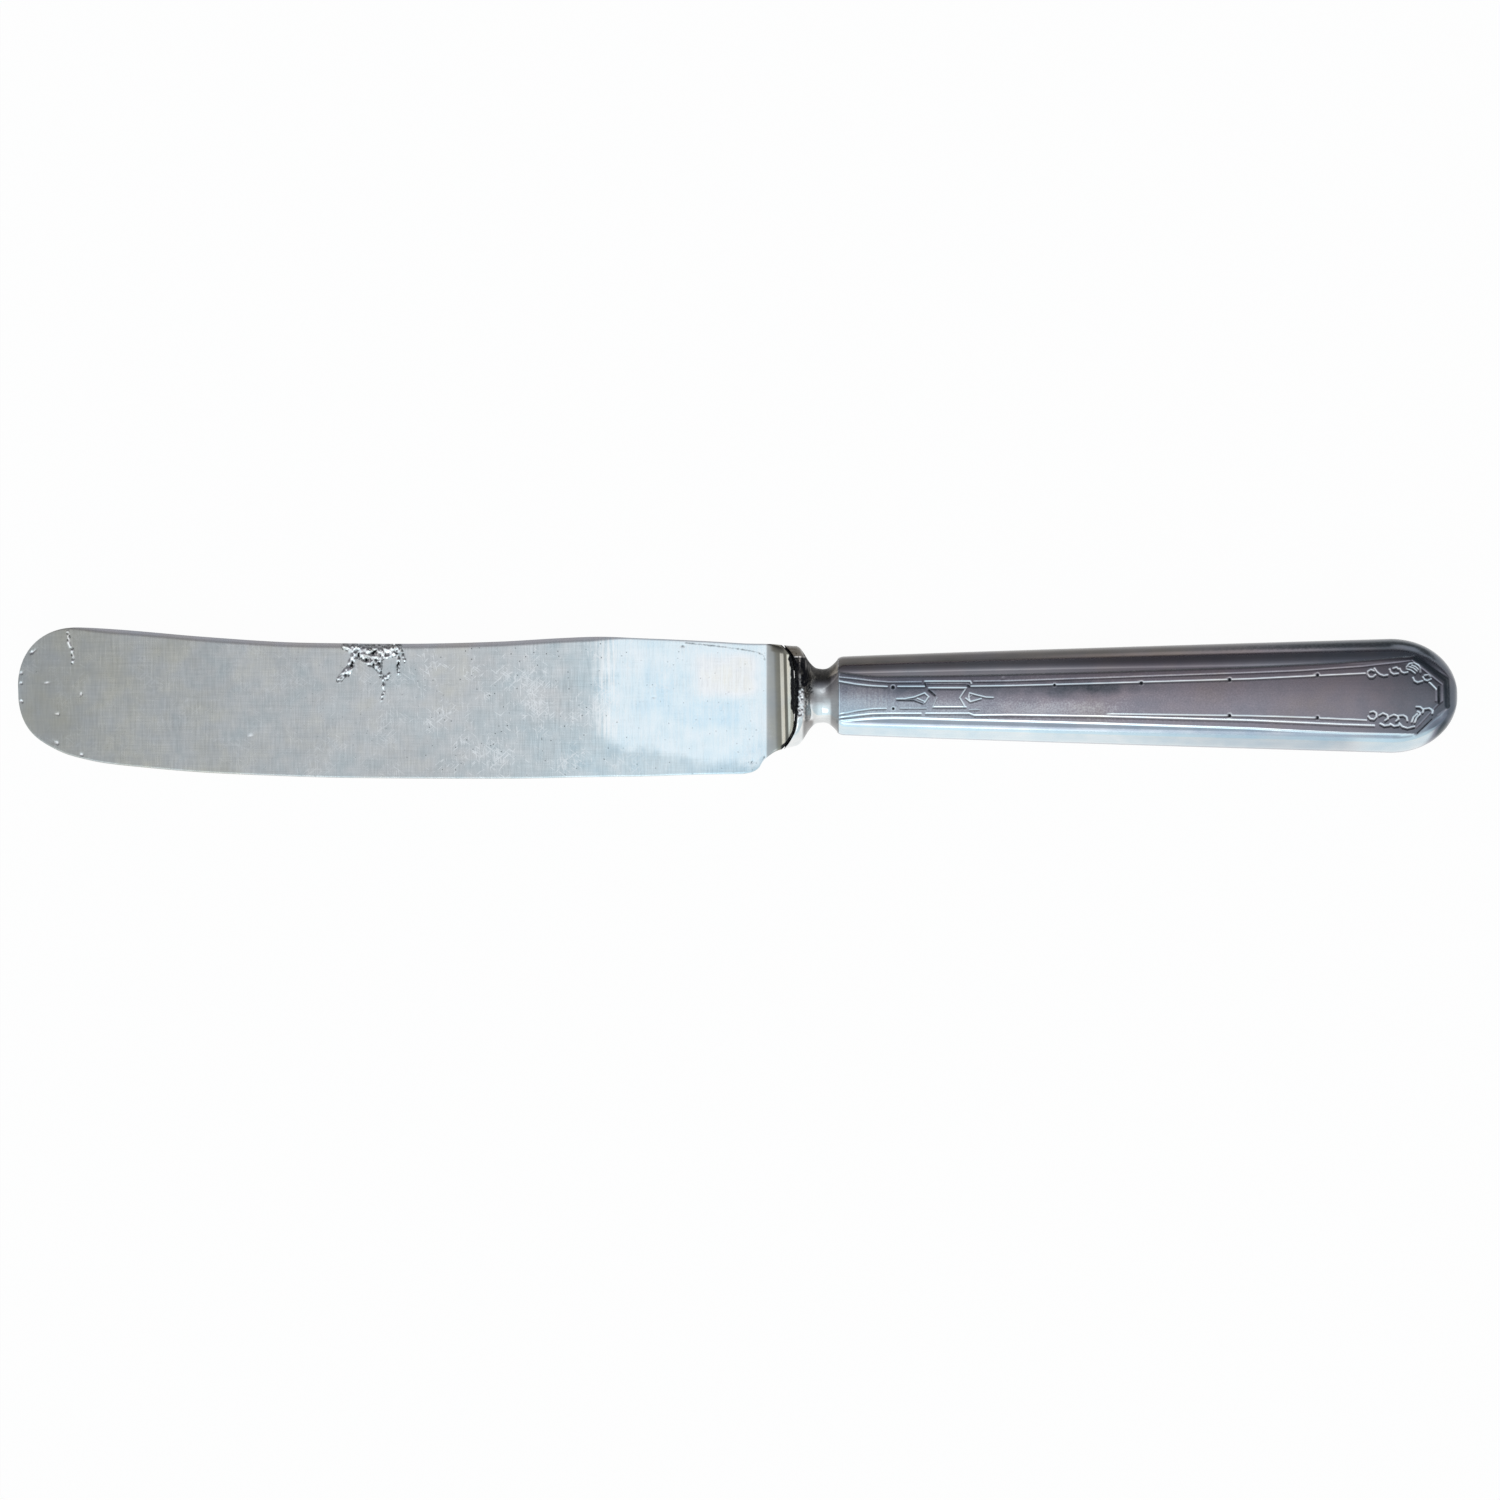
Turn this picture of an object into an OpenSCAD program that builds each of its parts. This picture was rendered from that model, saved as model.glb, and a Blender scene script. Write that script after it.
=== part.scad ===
// Table knife with a plated blade and a hollow handle, lying flat on its side.
// +X runs to the butt of the handle, +Y to the back of the blade and +Z up.
// The origin is the middle of the flat land under the bolster.

/* [Blade] */
// Length of the blade's flat, from its tip to the start of the shoulder
blade_l = 125.6; // [100:0.1:150]
// Greatest width of the blade
blade_w = 23.1; // [20:0.1:26]
// Thickness of the blade's back at the shoulder
back_t = 2.3; // [1.8:0.1:3]
// Thickness of the blade's back at the tip
tip_t = 1.2; // [0.9:0.1:1.7]
// Thickness of the cutting edge
edge_t = 0.5; // [0.3:0.1:0.8]
// Length of the rounded tip
tip_l = 10.4; // [7:0.1:14]
// Height of the tip above the axis of the handle
tip_rise = 0.97; // [0:0.01:2]
// Length of the curve from the cutting edge up to the bolster's land
heel_l = 8.9; // [7:0.1:12]
// Length of the hollow that rises from the blade to the bolster
cove_l = 4.5; // [3.6:0.1:6]

/* [Tang] */
// How far the tang reaches into the handle, past the mouth
tang_l = 46; // [20:0.5:75]
// Width of the tang
tang_w = 6; // [4:0.1:7]
// Width of the tang at its far end
tang_end_w = 3.6; // [2:0.1:4]

/* [Bolster] */
// Height of the flange at its land, from the edge side to the back
flange_h = 16.7; // [15:0.1:18]
// Length of the flat land on top of and under the flange
land_l = 1.1; // [0.8:0.1:1.5]
// Distance from the middle of the land to the narrowest place of the neck
neck_x = 3.7; // [3.2:0.1:4.6]
// Height of the neck at its narrowest
neck_h = 8.96; // [7.6:0.01:11]
// Thickness of the neck at its narrowest
neck_t = 7; // [5.4:0.1:9]
// Distance from the middle of the land to the mouth of the handle
mouth_x = 6.45; // [5.8:0.01:9]
// How far the ends of the flange curve back towards the tip
flange_bow = 2.1; // [0.6:0.1:3]
// Length of the spigot inside the mouth of the handle
spigot_l = 3.6; // [2:0.1:6]

/* [Handle] */
// Length of the handle, from its mouth to the butt
handle_l = 103.7; // [90:0.1:120]
// Width of the handle at the mouth
mouth_w = 13.1; // [12:0.1:15]
// Greatest width of the handle
butt_w = 19.1; // [16:0.1:21]
// Thickness of the handle at the mouth
mouth_t = 9; // [8:0.1:10.2]
// Greatest thickness of the handle
butt_t = 10.6; // [9.8:0.1:13]
// Length of the rounded butt, seen from above
butt_round_l = 11.2; // [8:0.1:14]
// Length of the rounded butt, seen from the side
butt_drop_l = 6; // [4:0.1:9]
// Height of the gentle crown of each face of the handle
face_crown = 0.3; // [0.1:0.05:0.6]
// Wall of the two handle shells
wall_t = 0.65; // [0.4:0.05:1]
// Length of the drawn-in lip at the mouth
lip_l = 0.9; // [0.4:0.1:2]
// How far the lip is drawn in
lip_drop = 0.2; // [0.1:0.05:0.3]
// How far the bolster's collar stays below the lip
collar_step = 0.25; // [0.1:0.05:0.4]

/* [Joints] */
// Thickness of the solder between the blade and the bolster
blade_solder_t = 0.3; // [0.15:0.05:0.45]
// How deep that solder lies below the surface
blade_solder_sink = 0.3; // [0.1:0.05:0.5]
// Thickness of the solder ring at the mouth of the handle
mouth_solder_t = 0.15; // [0.1:0.05:0.3]
// Thickness of the solder along the seam of the two shells
seam_t = 0.12; // [0.06:0.02:0.2]
// How deep the seam's solder lies below the surface
seam_sink = 0.06; // [0.02:0.02:0.12]
// Clearance round the tang, the spigot and the cement
fit = 0.1; // [0.05:0.05:0.2]

/* [Hidden] */

// Height of the blade's back above the tip, in blade widths, along the flat of the blade
back_shares = [[0, 0.4536], [0.083, 0.4536], [0.136, 0.438], [0.176, 0.42], [0.243, 0.388],
    [0.35, 0.349], [0.43, 0.339], [0.537, 0.336], [0.643, 0.351], [0.724, 0.376], [0.777, 0.386],
    [0.83, 0.375], [0.884, 0.363], [0.937, 0.348], [0.97, 0.337], [1, 0.334]];
// Depth of the cutting edge below the tip, in blade widths, along the flat of the blade
edge_shares = [[0, 0.455], [0.015, 0.447], [0.04, 0.447], [0.07, 0.478], [0.11, 0.526],
    [0.16, 0.558], [0.243, 0.597], [0.35, 0.624], [0.43, 0.637], [0.59, 0.644], [0.67, 0.643],
    [0.777, 0.631], [0.83, 0.628], [0.91, 0.614], [1, 0.606]];
// How the cutting edge climbs to the land, in shares of the heel's length and height
heel_shares = [[0, 0], [0.15, 0.05], [0.226, 0.115], [0.3, 0.23], [0.345, 0.39], [0.39, 0.5],
    [0.453, 0.6], [0.528, 0.705], [0.604, 0.79], [0.68, 0.845], [0.83, 0.912], [1, 1]];
// How the flange falls to the neck seen from above, in shares of the way and of the drop
flange_side_shares = [[0, 0], [0.13, 0.09], [0.288, 0.32], [0.446, 0.61], [0.603, 0.82],
    [0.761, 0.95], [1, 1]];
// How the flange falls to the neck seen from the side, in shares of the way and of the drop
flange_top_shares = [[0, 0], [0.2, 0.01], [0.3, 0.11], [0.42, 0.4], [0.56, 0.72], [0.75, 0.94], [1, 1]];
// How the neck widens to the collar, in shares of the way and of the rise
collar_shares = [[0, 0], [0.2, 0.02], [0.38, 0.105], [0.64, 0.39], [0.88, 0.76], [1, 1]];

// Roundness of the tip's outline, where 2 is an ellipse
tip_power = 2.3;
// How the handle's width and thickness grow along it
swell_power = 0.9;
// How late the ends of the flange curve back, where 2 is an even bow
flange_bow_power = 5;
// Roundness of the butt seen from above and from the side
butt_side_power = 2.06;
butt_top_power = 2.6;
// First ring of the blade and last ring of the handle, in shares of their rounded lengths
tip_start_share = 0.004;
butt_end_share = 0.9985;
// Half width of the flat face of the flange, the neck and the handle, in half widths
flange_flat_share = 0.3;
neck_flat_share = 0.2;
face_flat_share = 0.56;
// Depth of the material that the lands are cut from
land_cut = 0.12;
// How far the tang's root reaches into the shoulder
tang_root_l = 1;
// How far a cut runs past what it cuts
overrun = 1;
// Segments of a rounded side, of a flat face, and rings along each stretch
side_n = 6;
face_n = 4;
tip_n = 12;
blade_n = 22;
heel_n = 7;
cove_n = 8;
flange_n = 6;
handle_n = 20;
butt_n = 12;
neck_n = 9;
collar_n = 6;
joint_n = 12;

axis_z = butt_t / 2;
flange_y = flange_h / 2;
flange_z = axis_z + land_cut;
blade_face_x = -land_l / 2 - blade_solder_t;
cove_end_x = blade_face_x - blade_solder_t / 2;
cove_x = cove_end_x - cove_l;
tip_x = cove_x - blade_l;
land_x = -land_l / 2;
heel_x = land_x - heel_l;
flange_x = blade_face_x - 2 * flange_bow;
butt_x = mouth_x + handle_l;
collar_x = mouth_x - mouth_solder_t;
cement_x = mouth_x + spigot_l + fit;

// Value of a smooth curve through the points of a table at the place u
function stretch(t, u, i = 0) = i >= len(t) - 2 || u < t[i + 1][0] ? i : stretch(t, u, i + 1);
function slope(t, i) =
    let (a = max(i - 1, 0), b = min(i + 1, len(t) - 1))
    (t[b][1] - t[a][1]) / (t[b][0] - t[a][0]);
function smooth_at(t, u) =
    let (
        v = min(max(u, t[0][0]), t[len(t) - 1][0]),
        i = stretch(t, v),
        w = t[i + 1][0] - t[i][0],
        s = (v - t[i][0]) / w
    )
    t[i][1] * (2 * s * s * s - 3 * s * s + 1) + t[i + 1][1] * (3 * s * s - 2 * s * s * s)
        + w * slope(t, i) * (s * s * s - 2 * s * s + s) + w * slope(t, i + 1) * (s * s * s - s * s);
function mix(a, b, share) = a + (b - a) * share;
function limit(u) = min(max(u, 0), 1);
function ease(u) = limit(u) * limit(u) * (3 - 2 * limit(u));
function rounding(u, power) = pow(1 - pow(limit(u), power), 1 / power);

// Upper half of a section with a gently crowned face and rounded sides, as [y, z] points
function half_section(w, t, flat, crown) = concat(
    [for (i = [0:side_n]) let (a = 90 * i / side_n)
        [flat + (w - flat) * cos(a), (t - crown) * sin(a)]],
    [for (i = [1:face_n - 1]) let (y = 1 - 2 * i / face_n)
        [flat * y, t - crown * y * y]],
    [for (i = [side_n:-1:0]) let (a = 90 * i / side_n)
        [-flat - (w - flat) * cos(a), (t - crown) * sin(a)]]
);
function whole_section(w, t, flat, crown) =
    let (h = half_section(w, t, flat, crown), n = len(h))
    concat(h, [for (j = [n - 2:-1:1]) [h[j][0], -h[j][1]]]);
function at_x(section, x) = [for (p = section) [x, p[0], p[1]]];

// Closed solid through a list of rings that have the same number of points
module loft(rings) {
    n = len(rings[0]);
    last = len(rings) - 1;
    sides = [for (i = [0:last - 1], j = [0:n - 1]) let (k = (j + 1) % n)
        each [[i * n + j, (i + 1) * n + j, i * n + k], [i * n + k, (i + 1) * n + j, (i + 1) * n + k]]];
    start = [for (j = [0:n - 1]) j];
    end = [for (j = [n - 1:-1:0]) last * n + j];
    polyhedron(points = [for (r = rings) each r], faces = concat([start], sides, [end]));
}

// Outline of the blade from above
function tip_round(x) = rounding(1 - (x - tip_x) / tip_l, tip_power);
function back_y(x) =
    let (
        flat = tip_rise + blade_w * smooth_at(back_shares, (x - tip_x) / blade_l) * tip_round(x),
        u = ease((x - cove_x) / (land_x - cove_x))
    )
    mix(flat, flange_y, u);
function edge_y(x) =
    let (
        flat = tip_rise - blade_w * smooth_at(edge_shares, (x - tip_x) / blade_l) * tip_round(x),
        u = smooth_at(heel_shares, (x - heel_x) / heel_l)
    )
    mix(flat, -flange_y, u);

// How far the flange's bow moves a point along X
function flange_shift(y) = -flange_bow * pow(abs(y) / flange_y, flange_bow_power);

// Section of the flange, drawn in by a depth, as heights from -1 to 1 and half thicknesses
function flange_section(depth) = whole_section(1, flange_z - depth, flange_flat_share, 0);

// Ring of the blade: a wedge that the cove turns into the section of the flange
function blade_ring(x, bend = 1) =
    let (
        u = limit((x - cove_x) / cove_l),
        top = back_y(x + bend * u * flange_shift(flange_y)),
        bottom = edge_y(x + bend * u * flange_shift(-flange_y)),
        back = mix(tip_t, back_t, limit((x - tip_x) / blade_l)),
        rise = 1 - sqrt(1 - u * u)
    )
    [for (p = flange_section(0)) let (
        q = (p[0] + 1) / 2,
        y = mix(bottom, top, q),
        z = mix(sign(p[1]) * mix(edge_t, back, q) / 2, p[1], rise)
    ) [x + bend * u * flange_shift(p[0] * flange_y), y, z]];

module blade_body() {
    tip = [for (i = [1:tip_n]) tip_x + tip_l * (1 - cos(90 * i / tip_n))];
    flat = [for (i = [1:blade_n]) mix(tip_x + tip_l, heel_x, i / blade_n)];
    heel = [for (i = [1:heel_n]) mix(heel_x, cove_x, i / heel_n)];
    cove = [for (i = [1:cove_n]) cove_x + cove_l * sin(90 * i / cove_n)];
    loft(concat(
        [blade_ring(tip_x + tip_l * tip_start_share)],
        [for (x = concat(tip, flat, heel, cove)) blade_ring(x)],
        [blade_ring(overrun, 0)]
    ));
}

// Block from far_x to the bowed face that the blade and the bolster share, moved along X
module joint_block(shift, far_x) {
    line = [for (i = [-joint_n:joint_n]) let (y = flange_y * sin(90 * i / joint_n))
        [blade_face_x + shift + flange_shift(y), y]];
    end_x = line[0][0];
    translate([0, 0, -axis_z - overrun])
        linear_extrude(2 * axis_z + 2 * overrun)
            polygon(concat(
                [[far_x, -flange_h], [end_x, -flange_h]], line,
                [[end_x, flange_h], [far_x, flange_h]]));
}

// Everything on the blade's side of that face
module blade_side(shift) {
    joint_block(shift, flange_x - overrun);
}

// Slab between the two lands, which every piece near the flange is cut to
module between_lands(from_x, to_x) {
    translate([from_x, -blade_w, -axis_z])
        cube([to_x - from_x, 2 * blade_w, 2 * axis_z]);
}

// Tapered strip from the shoulder into the handle, grown on every side for its slot
module tang(grow) {
    root_x = blade_face_x - tang_root_l;
    end_x = mouth_x + tang_l + grow;
    w = tang_w / 2 + grow;
    end_w = tang_end_w / 2 + grow;
    translate([0, 0, -back_t / 2 - grow])
        linear_extrude(back_t + 2 * grow)
            polygon([[root_x, -w], [mouth_x, -w], [end_x, -end_w], [end_x, end_w], [mouth_x, w],
                [root_x, w]]);
}

module blade() {
    color("silver")
        translate([0, 0, axis_z])
            union() {
                intersection() {
                    difference() {
                        blade_body();
                        joint_block(0, 2 * overrun);
                    }
                    between_lands(tip_x - overrun, overrun);
                }
                tang(0);
            }
}

// Upright ring through the flange, drawn in by a depth
function flange_ring(x, depth) =
    [for (p = flange_section(depth))
        [x, mix(edge_y(x) + depth, back_y(x) - depth, (p[0] + 1) / 2), p[1]]];
function flange_rings(depth) =
    [for (i = [0:flange_n]) flange_ring(mix(flange_x, land_x, i / flange_n), depth)];

module blade_solder() {
    color("dimgray")
        translate([0, 0, axis_z])
            difference() {
                intersection() {
                    loft(flange_rings(blade_solder_sink + land_cut));
                    blade_side(blade_solder_t);
                }
                blade_side(0);
                tang(fit);
            }
}

// Rings of the bolster behind the land: the flange falls to the neck, which widens to the collar
function neck_ring(u) =
    let (
        side = mix(flange_y, neck_h / 2, smooth_at(flange_side_shares, u)),
        depth = mix(flange_z, neck_t / 2, smooth_at(flange_top_shares, u))
    )
    at_x(
        whole_section(side, depth, side * mix(flange_flat_share, neck_flat_share, u), 0),
        mix(land_x, neck_x, u));
function collar_ring(u) =
    let (
        rise = smooth_at(collar_shares, u),
        side = mix(neck_h / 2, mouth_w / 2 - lip_drop - collar_step, rise),
        depth = mix(neck_t / 2, mouth_t / 2 - lip_drop - collar_step, rise)
    )
    at_x(
        whole_section(side, depth, side * mix(neck_flat_share, face_flat_share, u), face_crown * u),
        mix(neck_x, collar_x, u));

module bolster() {
    spigot = handle_section(mouth_x, wall_t + fit);
    color("lightgray")
        translate([0, 0, axis_z])
            difference() {
                intersection() {
                    loft(concat(
                        flange_rings(0),
                        [for (i = [1:neck_n]) neck_ring(i / neck_n)],
                        [for (i = [1:collar_n]) collar_ring(i / collar_n)],
                        [at_x(spigot, collar_x)],
                        [at_x(spigot, mouth_x + spigot_l)]
                    ));
                    between_lands(flange_x - overrun, mouth_x + spigot_l + overrun);
                }
                blade_side(blade_solder_t);
                tang(fit);
            }
}

module mouth_solder() {
    color("gray")
        translate([0, 0, axis_z])
            difference() {
                loft([for (x = [collar_x, mouth_x])
                    at_x(handle_section(mouth_x, lip_drop + collar_step / 2), x)]);
                loft([for (x = [collar_x - overrun, mouth_x + overrun])
                    at_x(handle_section(mouth_x, wall_t), x)]);
            }
}

// Half width and half thickness of the handle, without the rounding of the butt
function handle_swell(x) = pow(limit((x - mouth_x) / (handle_l - butt_round_l)), swell_power);
function handle_w(x) = mix(mouth_w, butt_w, handle_swell(x)) / 2;
function handle_t(x) = mix(mouth_t, butt_t, handle_swell(x)) / 2;
function butt_w_round(x) = rounding(1 - (butt_x - x) / butt_round_l, butt_side_power);
function butt_t_round(x) = rounding(1 - (butt_x - x) / butt_drop_l, butt_top_power);
function lip_at(x) = lip_drop * pow(1 - limit((x - mouth_x) / lip_l), 2);

// Section of the handle at x, drawn in by a depth
function handle_section(x, depth) =
    let (
        w = (handle_w(x) - depth) * butt_w_round(x),
        t = (handle_t(x) - depth) * butt_t_round(x),
        crown = face_crown * butt_t_round(x)
    )
    whole_section(w, t, w * face_flat_share, crown);

// Upper half of that section, over half the seam
function handle_half(x, depth, place) =
    let (
        w = (handle_w(x) - depth) * butt_w_round(x),
        t = (handle_t(x) - depth) * butt_t_round(x),
        crown = face_crown * butt_t_round(x)
    )
    [for (p = half_section(w, t - seam_t / 2, w * face_flat_share, crown))
        [place, p[0], p[1] + seam_t / 2]];

butt_stations = [for (i = [1:butt_n])
    butt_x - butt_round_l * (1 - butt_end_share * sin(90 * i / butt_n))];
lip_stations = [mouth_x, mouth_x + lip_l / 2, mouth_x + lip_l];
handle_stations = concat(
    lip_stations,
    [for (i = [1:handle_n]) mix(mouth_x + lip_l, butt_x - butt_round_l, i / handle_n)],
    butt_stations);

// A handle's half as one closed shell: outside, inside, the rim of the seam and the mouth
module half_shell() {
    last = len(handle_stations) - 1;
    inner_scale = (handle_l - wall_t) / handle_l;
    outer = [for (x = handle_stations) handle_half(x, lip_at(x), x)];
    inner = [for (x = handle_stations)
        handle_half(x, wall_t, mouth_x + (x - mouth_x) * inner_scale)];
    n = len(outer[0]);
    m = n * (last + 1);
    skin = [for (i = [0:last - 1], j = [0:n - 2]) let (a = i * n + j, b = a + n)
        each [[a, b, a + 1], [a + 1, b, b + 1], [m + a, m + a + 1, m + b], [m + a + 1, m + b + 1, m + b]]];
    rims = [for (i = [0:last - 1]) let (a = i * n, b = a + n, c = a + n - 1, d = c + n)
        each [[a, m + a, b], [b, m + a, m + b], [c, d, m + c], [d, m + d, m + c]]];
    mouth = [for (j = [0:n - 2]) each [[j, j + 1, m + j], [j + 1, m + j + 1, m + j]]];
    e = last * n;
    outer_end = [for (j = [n - 1:-1:0]) e + j];
    inner_end = [for (j = [0:n - 1]) m + e + j];
    butt = [[e, m + e, m + e + n - 1], [e, m + e + n - 1, e + n - 1]];
    polyhedron(
        points = concat([for (r = outer) each r], [for (r = inner) each r]),
        faces = concat(skin, rims, mouth, [outer_end], [inner_end], butt));
}

module handle_front_shell() {
    color("darkgray")
        translate([0, 0, axis_z])
            half_shell();
}

module handle_back_shell() {
    color("darkgray")
        translate([0, 0, axis_z])
            mirror([0, 0, 1])
                half_shell();
}

// One side of a U that follows the seam, drawn in by a depth
function seam_side(depth, side) =
    let (along = (handle_l - depth) / handle_l)
    [for (x = handle_stations) [mouth_x + (x - mouth_x) * along,
        side * (handle_w(x) - depth) * butt_w_round(x)]];
function turned(list) = [for (i = [len(list) - 1:-1:0]) list[i]];

module seam_solder() {
    shallow = lip_drop + seam_sink;
    color("gray")
        translate([0, 0, axis_z - seam_t / 2])
            linear_extrude(seam_t)
                polygon(concat(
                    seam_side(shallow, 1), turned(seam_side(shallow, -1)),
                    seam_side(wall_t, -1), turned(seam_side(wall_t, 1))));
}

module handle_cement() {
    depth = wall_t + fit;
    along = (handle_l - depth) / handle_l;
    stations = [for (x = handle_stations)
        if (mouth_x + (x - mouth_x) * along > cement_x + fit) x];
    color("rosybrown")
        translate([0, 0, axis_z])
            difference() {
                loft(concat(
                    [at_x(handle_section(cement_x, depth), cement_x)],
                    [for (x = stations) at_x(handle_section(x, depth), mouth_x + (x - mouth_x) * along)]
                ));
                tang(fit);
            }
}

blade();
blade_solder();
bolster();
mouth_solder();
handle_front_shell();
handle_back_shell();
seam_solder();
handle_cement();
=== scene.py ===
import math

import bpy
import numpy as np
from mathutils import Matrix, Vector


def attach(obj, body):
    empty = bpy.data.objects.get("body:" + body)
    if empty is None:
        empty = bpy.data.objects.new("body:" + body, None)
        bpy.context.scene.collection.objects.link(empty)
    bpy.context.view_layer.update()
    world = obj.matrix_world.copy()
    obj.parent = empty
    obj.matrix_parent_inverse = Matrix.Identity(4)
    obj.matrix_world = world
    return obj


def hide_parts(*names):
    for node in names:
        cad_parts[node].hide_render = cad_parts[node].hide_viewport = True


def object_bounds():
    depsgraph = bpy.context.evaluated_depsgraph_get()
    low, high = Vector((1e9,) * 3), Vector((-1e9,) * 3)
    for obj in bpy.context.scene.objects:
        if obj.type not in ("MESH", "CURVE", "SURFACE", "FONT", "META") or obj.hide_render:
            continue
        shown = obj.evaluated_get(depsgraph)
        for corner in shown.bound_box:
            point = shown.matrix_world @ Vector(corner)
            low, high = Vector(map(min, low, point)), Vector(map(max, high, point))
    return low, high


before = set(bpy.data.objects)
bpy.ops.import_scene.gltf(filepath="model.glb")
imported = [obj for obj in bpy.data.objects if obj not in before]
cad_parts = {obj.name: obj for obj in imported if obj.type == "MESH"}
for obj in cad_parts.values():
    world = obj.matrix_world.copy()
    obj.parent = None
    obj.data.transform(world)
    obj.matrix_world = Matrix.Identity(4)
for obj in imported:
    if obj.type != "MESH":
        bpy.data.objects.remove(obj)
cad_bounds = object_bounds()

# All shapes are worked out in millimetres round the knife's axis, and this turns them into metres.
MM = 0.001
# Picture scale and the picture point over the origin, in which ornament and wear are placed.
PX = 0.16769
PX_X = 800.0
PX_Y = 695.8
# The camera looks straight down on the picture's middle, from VIEW_AWAY above the knife's axis.
PICTURE_W = 1500
LENS = 150
SENSOR_W = 36
VIEW_X = (PICTURE_W / 2 - PX_X) * PX
VIEW_Y = (PX_Y - PICTURE_W / 2) * PX
VIEW_AWAY = PICTURE_W * PX * LENS / SENSOR_W

# Sizes of the solids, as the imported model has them.
BLADE_L = 125.6
BLADE_W = 23.1
BACK_T = 2.3
TIP_T = 1.2
EDGE_T = 0.5
TIP_L = 10.4
TIP_RISE = 0.97
HEEL_L = 8.9
COVE_L = 4.5
TANG_L = 46.0
TANG_W = 6.0
TANG_END_W = 3.6
FLANGE_H = 16.7
LAND_L = 1.1
NECK_X = 3.7
NECK_H = 8.96
NECK_T = 7.0
MOUTH_X = 6.45
FLANGE_BOW = 2.1
FLANGE_BOW_POWER = 5
SPIGOT_L = 3.6
HANDLE_L = 103.7
MOUTH_W = 13.1
BUTT_W = 19.1
MOUTH_T = 9.0
BUTT_T = 10.6
BUTT_ROUND_L = 11.2
BUTT_DROP_L = 6.0
FACE_CROWN = 0.3
WALL_T = 0.65
LIP_L = 0.9
LIP_DROP = 0.2
COLLAR_STEP = 0.25
BLADE_SOLDER_T = 0.3
MOUTH_SOLDER_T = 0.15
SEAM_T = 0.12
FIT = 0.1
LAND_CUT = 0.12
FLANGE_FLAT = 0.3
NECK_FLAT = 0.2
FACE_FLAT = 0.56
TIP_POWER = 2.3
SWELL_POWER = 0.9
BUTT_SIDE_POWER = 2.06
BUTT_TOP_POWER = 2.6

AXIS_Z = BUTT_T / 2
FLANGE_Y = FLANGE_H / 2
FLANGE_Z = AXIS_Z + LAND_CUT
LAND_X = -LAND_L / 2
BLADE_FACE_X = LAND_X - BLADE_SOLDER_T
COVE_END_X = BLADE_FACE_X - BLADE_SOLDER_T / 2
COVE_X = COVE_END_X - COVE_L
TIP_X = COVE_X - BLADE_L
HEEL_X = LAND_X - HEEL_L
BUTT_X = MOUTH_X + HANDLE_L
COLLAR_X = MOUTH_X - MOUTH_SOLDER_T

BACK_SHARES = [
    (0, 0.4536), (0.083, 0.4536), (0.136, 0.438), (0.176, 0.42), (0.243, 0.388), (0.35, 0.349),
    (0.43, 0.339), (0.537, 0.336), (0.643, 0.351), (0.724, 0.376), (0.777, 0.386), (0.83, 0.375),
    (0.884, 0.363), (0.937, 0.348), (0.97, 0.337), (1, 0.334)]
EDGE_SHARES = [
    (0, 0.455), (0.015, 0.447), (0.04, 0.447), (0.07, 0.478), (0.11, 0.526), (0.16, 0.558),
    (0.243, 0.597), (0.35, 0.624), (0.43, 0.637), (0.59, 0.644), (0.67, 0.643), (0.777, 0.631),
    (0.83, 0.628), (0.91, 0.614), (1, 0.606)]
HEEL_SHARES = [
    (0, 0), (0.15, 0.05), (0.226, 0.115), (0.3, 0.23), (0.345, 0.39), (0.39, 0.5), (0.453, 0.6),
    (0.528, 0.705), (0.604, 0.79), (0.68, 0.845), (0.83, 0.912), (1, 1)]
FLANGE_SIDE_SHARES = [
    (0, 0), (0.13, 0.09), (0.288, 0.32), (0.446, 0.61), (0.603, 0.82), (0.761, 0.95), (1, 1)]
FLANGE_TOP_SHARES = [(0, 0), (0.2, 0.01), (0.3, 0.11), (0.42, 0.4), (0.56, 0.72), (0.75, 0.94), (1, 1)]
COLLAR_SHARES = [(0, 0), (0.2, 0.02), (0.38, 0.105), (0.64, 0.39), (0.88, 0.76), (1, 1)]


# Numbers

# Random values in each direction before the noise repeats.
NOISE_CELLS = 128


def limit(u):
    return np.clip(u, 0.0, 1.0)


def ease(u):
    u = limit(u)
    return u * u * (3 - 2 * u)


def climb(u, start, width):
    """From 0 at a start to 1 a width further on, or backwards where the width is below 0."""
    return ease((u - start) / width)


def mix(a, b, share):
    return a + (b - a) * share


def rounding(u, power):
    return (1 - limit(u) ** power) ** (1 / power)


def smooth_at(table, u):
    """The same smooth curve through a table of points as the solids have."""
    t, v = np.array(table, float).T
    slopes = np.gradient(v, t)
    slopes[1:-1] = (v[2:] - v[:-2]) / (t[2:] - t[:-2])
    u = np.clip(u, t[0], t[-1])
    i = np.clip(np.searchsorted(t, u, side="right") - 1, 0, len(t) - 2)
    w = t[i + 1] - t[i]
    s = (u - t[i]) / w
    ends = v[i] * (2 * s**3 - 3 * s**2 + 1) + v[i + 1] * (3 * s**2 - 2 * s**3)
    return ends + w * slopes[i] * (s**3 - 2 * s**2 + s) + w * slopes[i + 1] * (s**3 - s**2)


def stations(start, stop, step, zones=()):
    """Places from start to stop, closer together inside the zones (from, to, step)."""
    inner = {e for a, b, _ in zones for e in (a, b) if start < e < stop}
    edges = sorted({start, stop} | inner)
    places = []
    for a, b in zip(edges, edges[1:]):
        fine = min([step] + [s for c, d, s in zones if c <= (a + b) / 2 <= d])
        places.extend(np.linspace(a, b, math.ceil((b - a) / fine - 1e-9), endpoint=False))
    return np.array(places + [stop])


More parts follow.
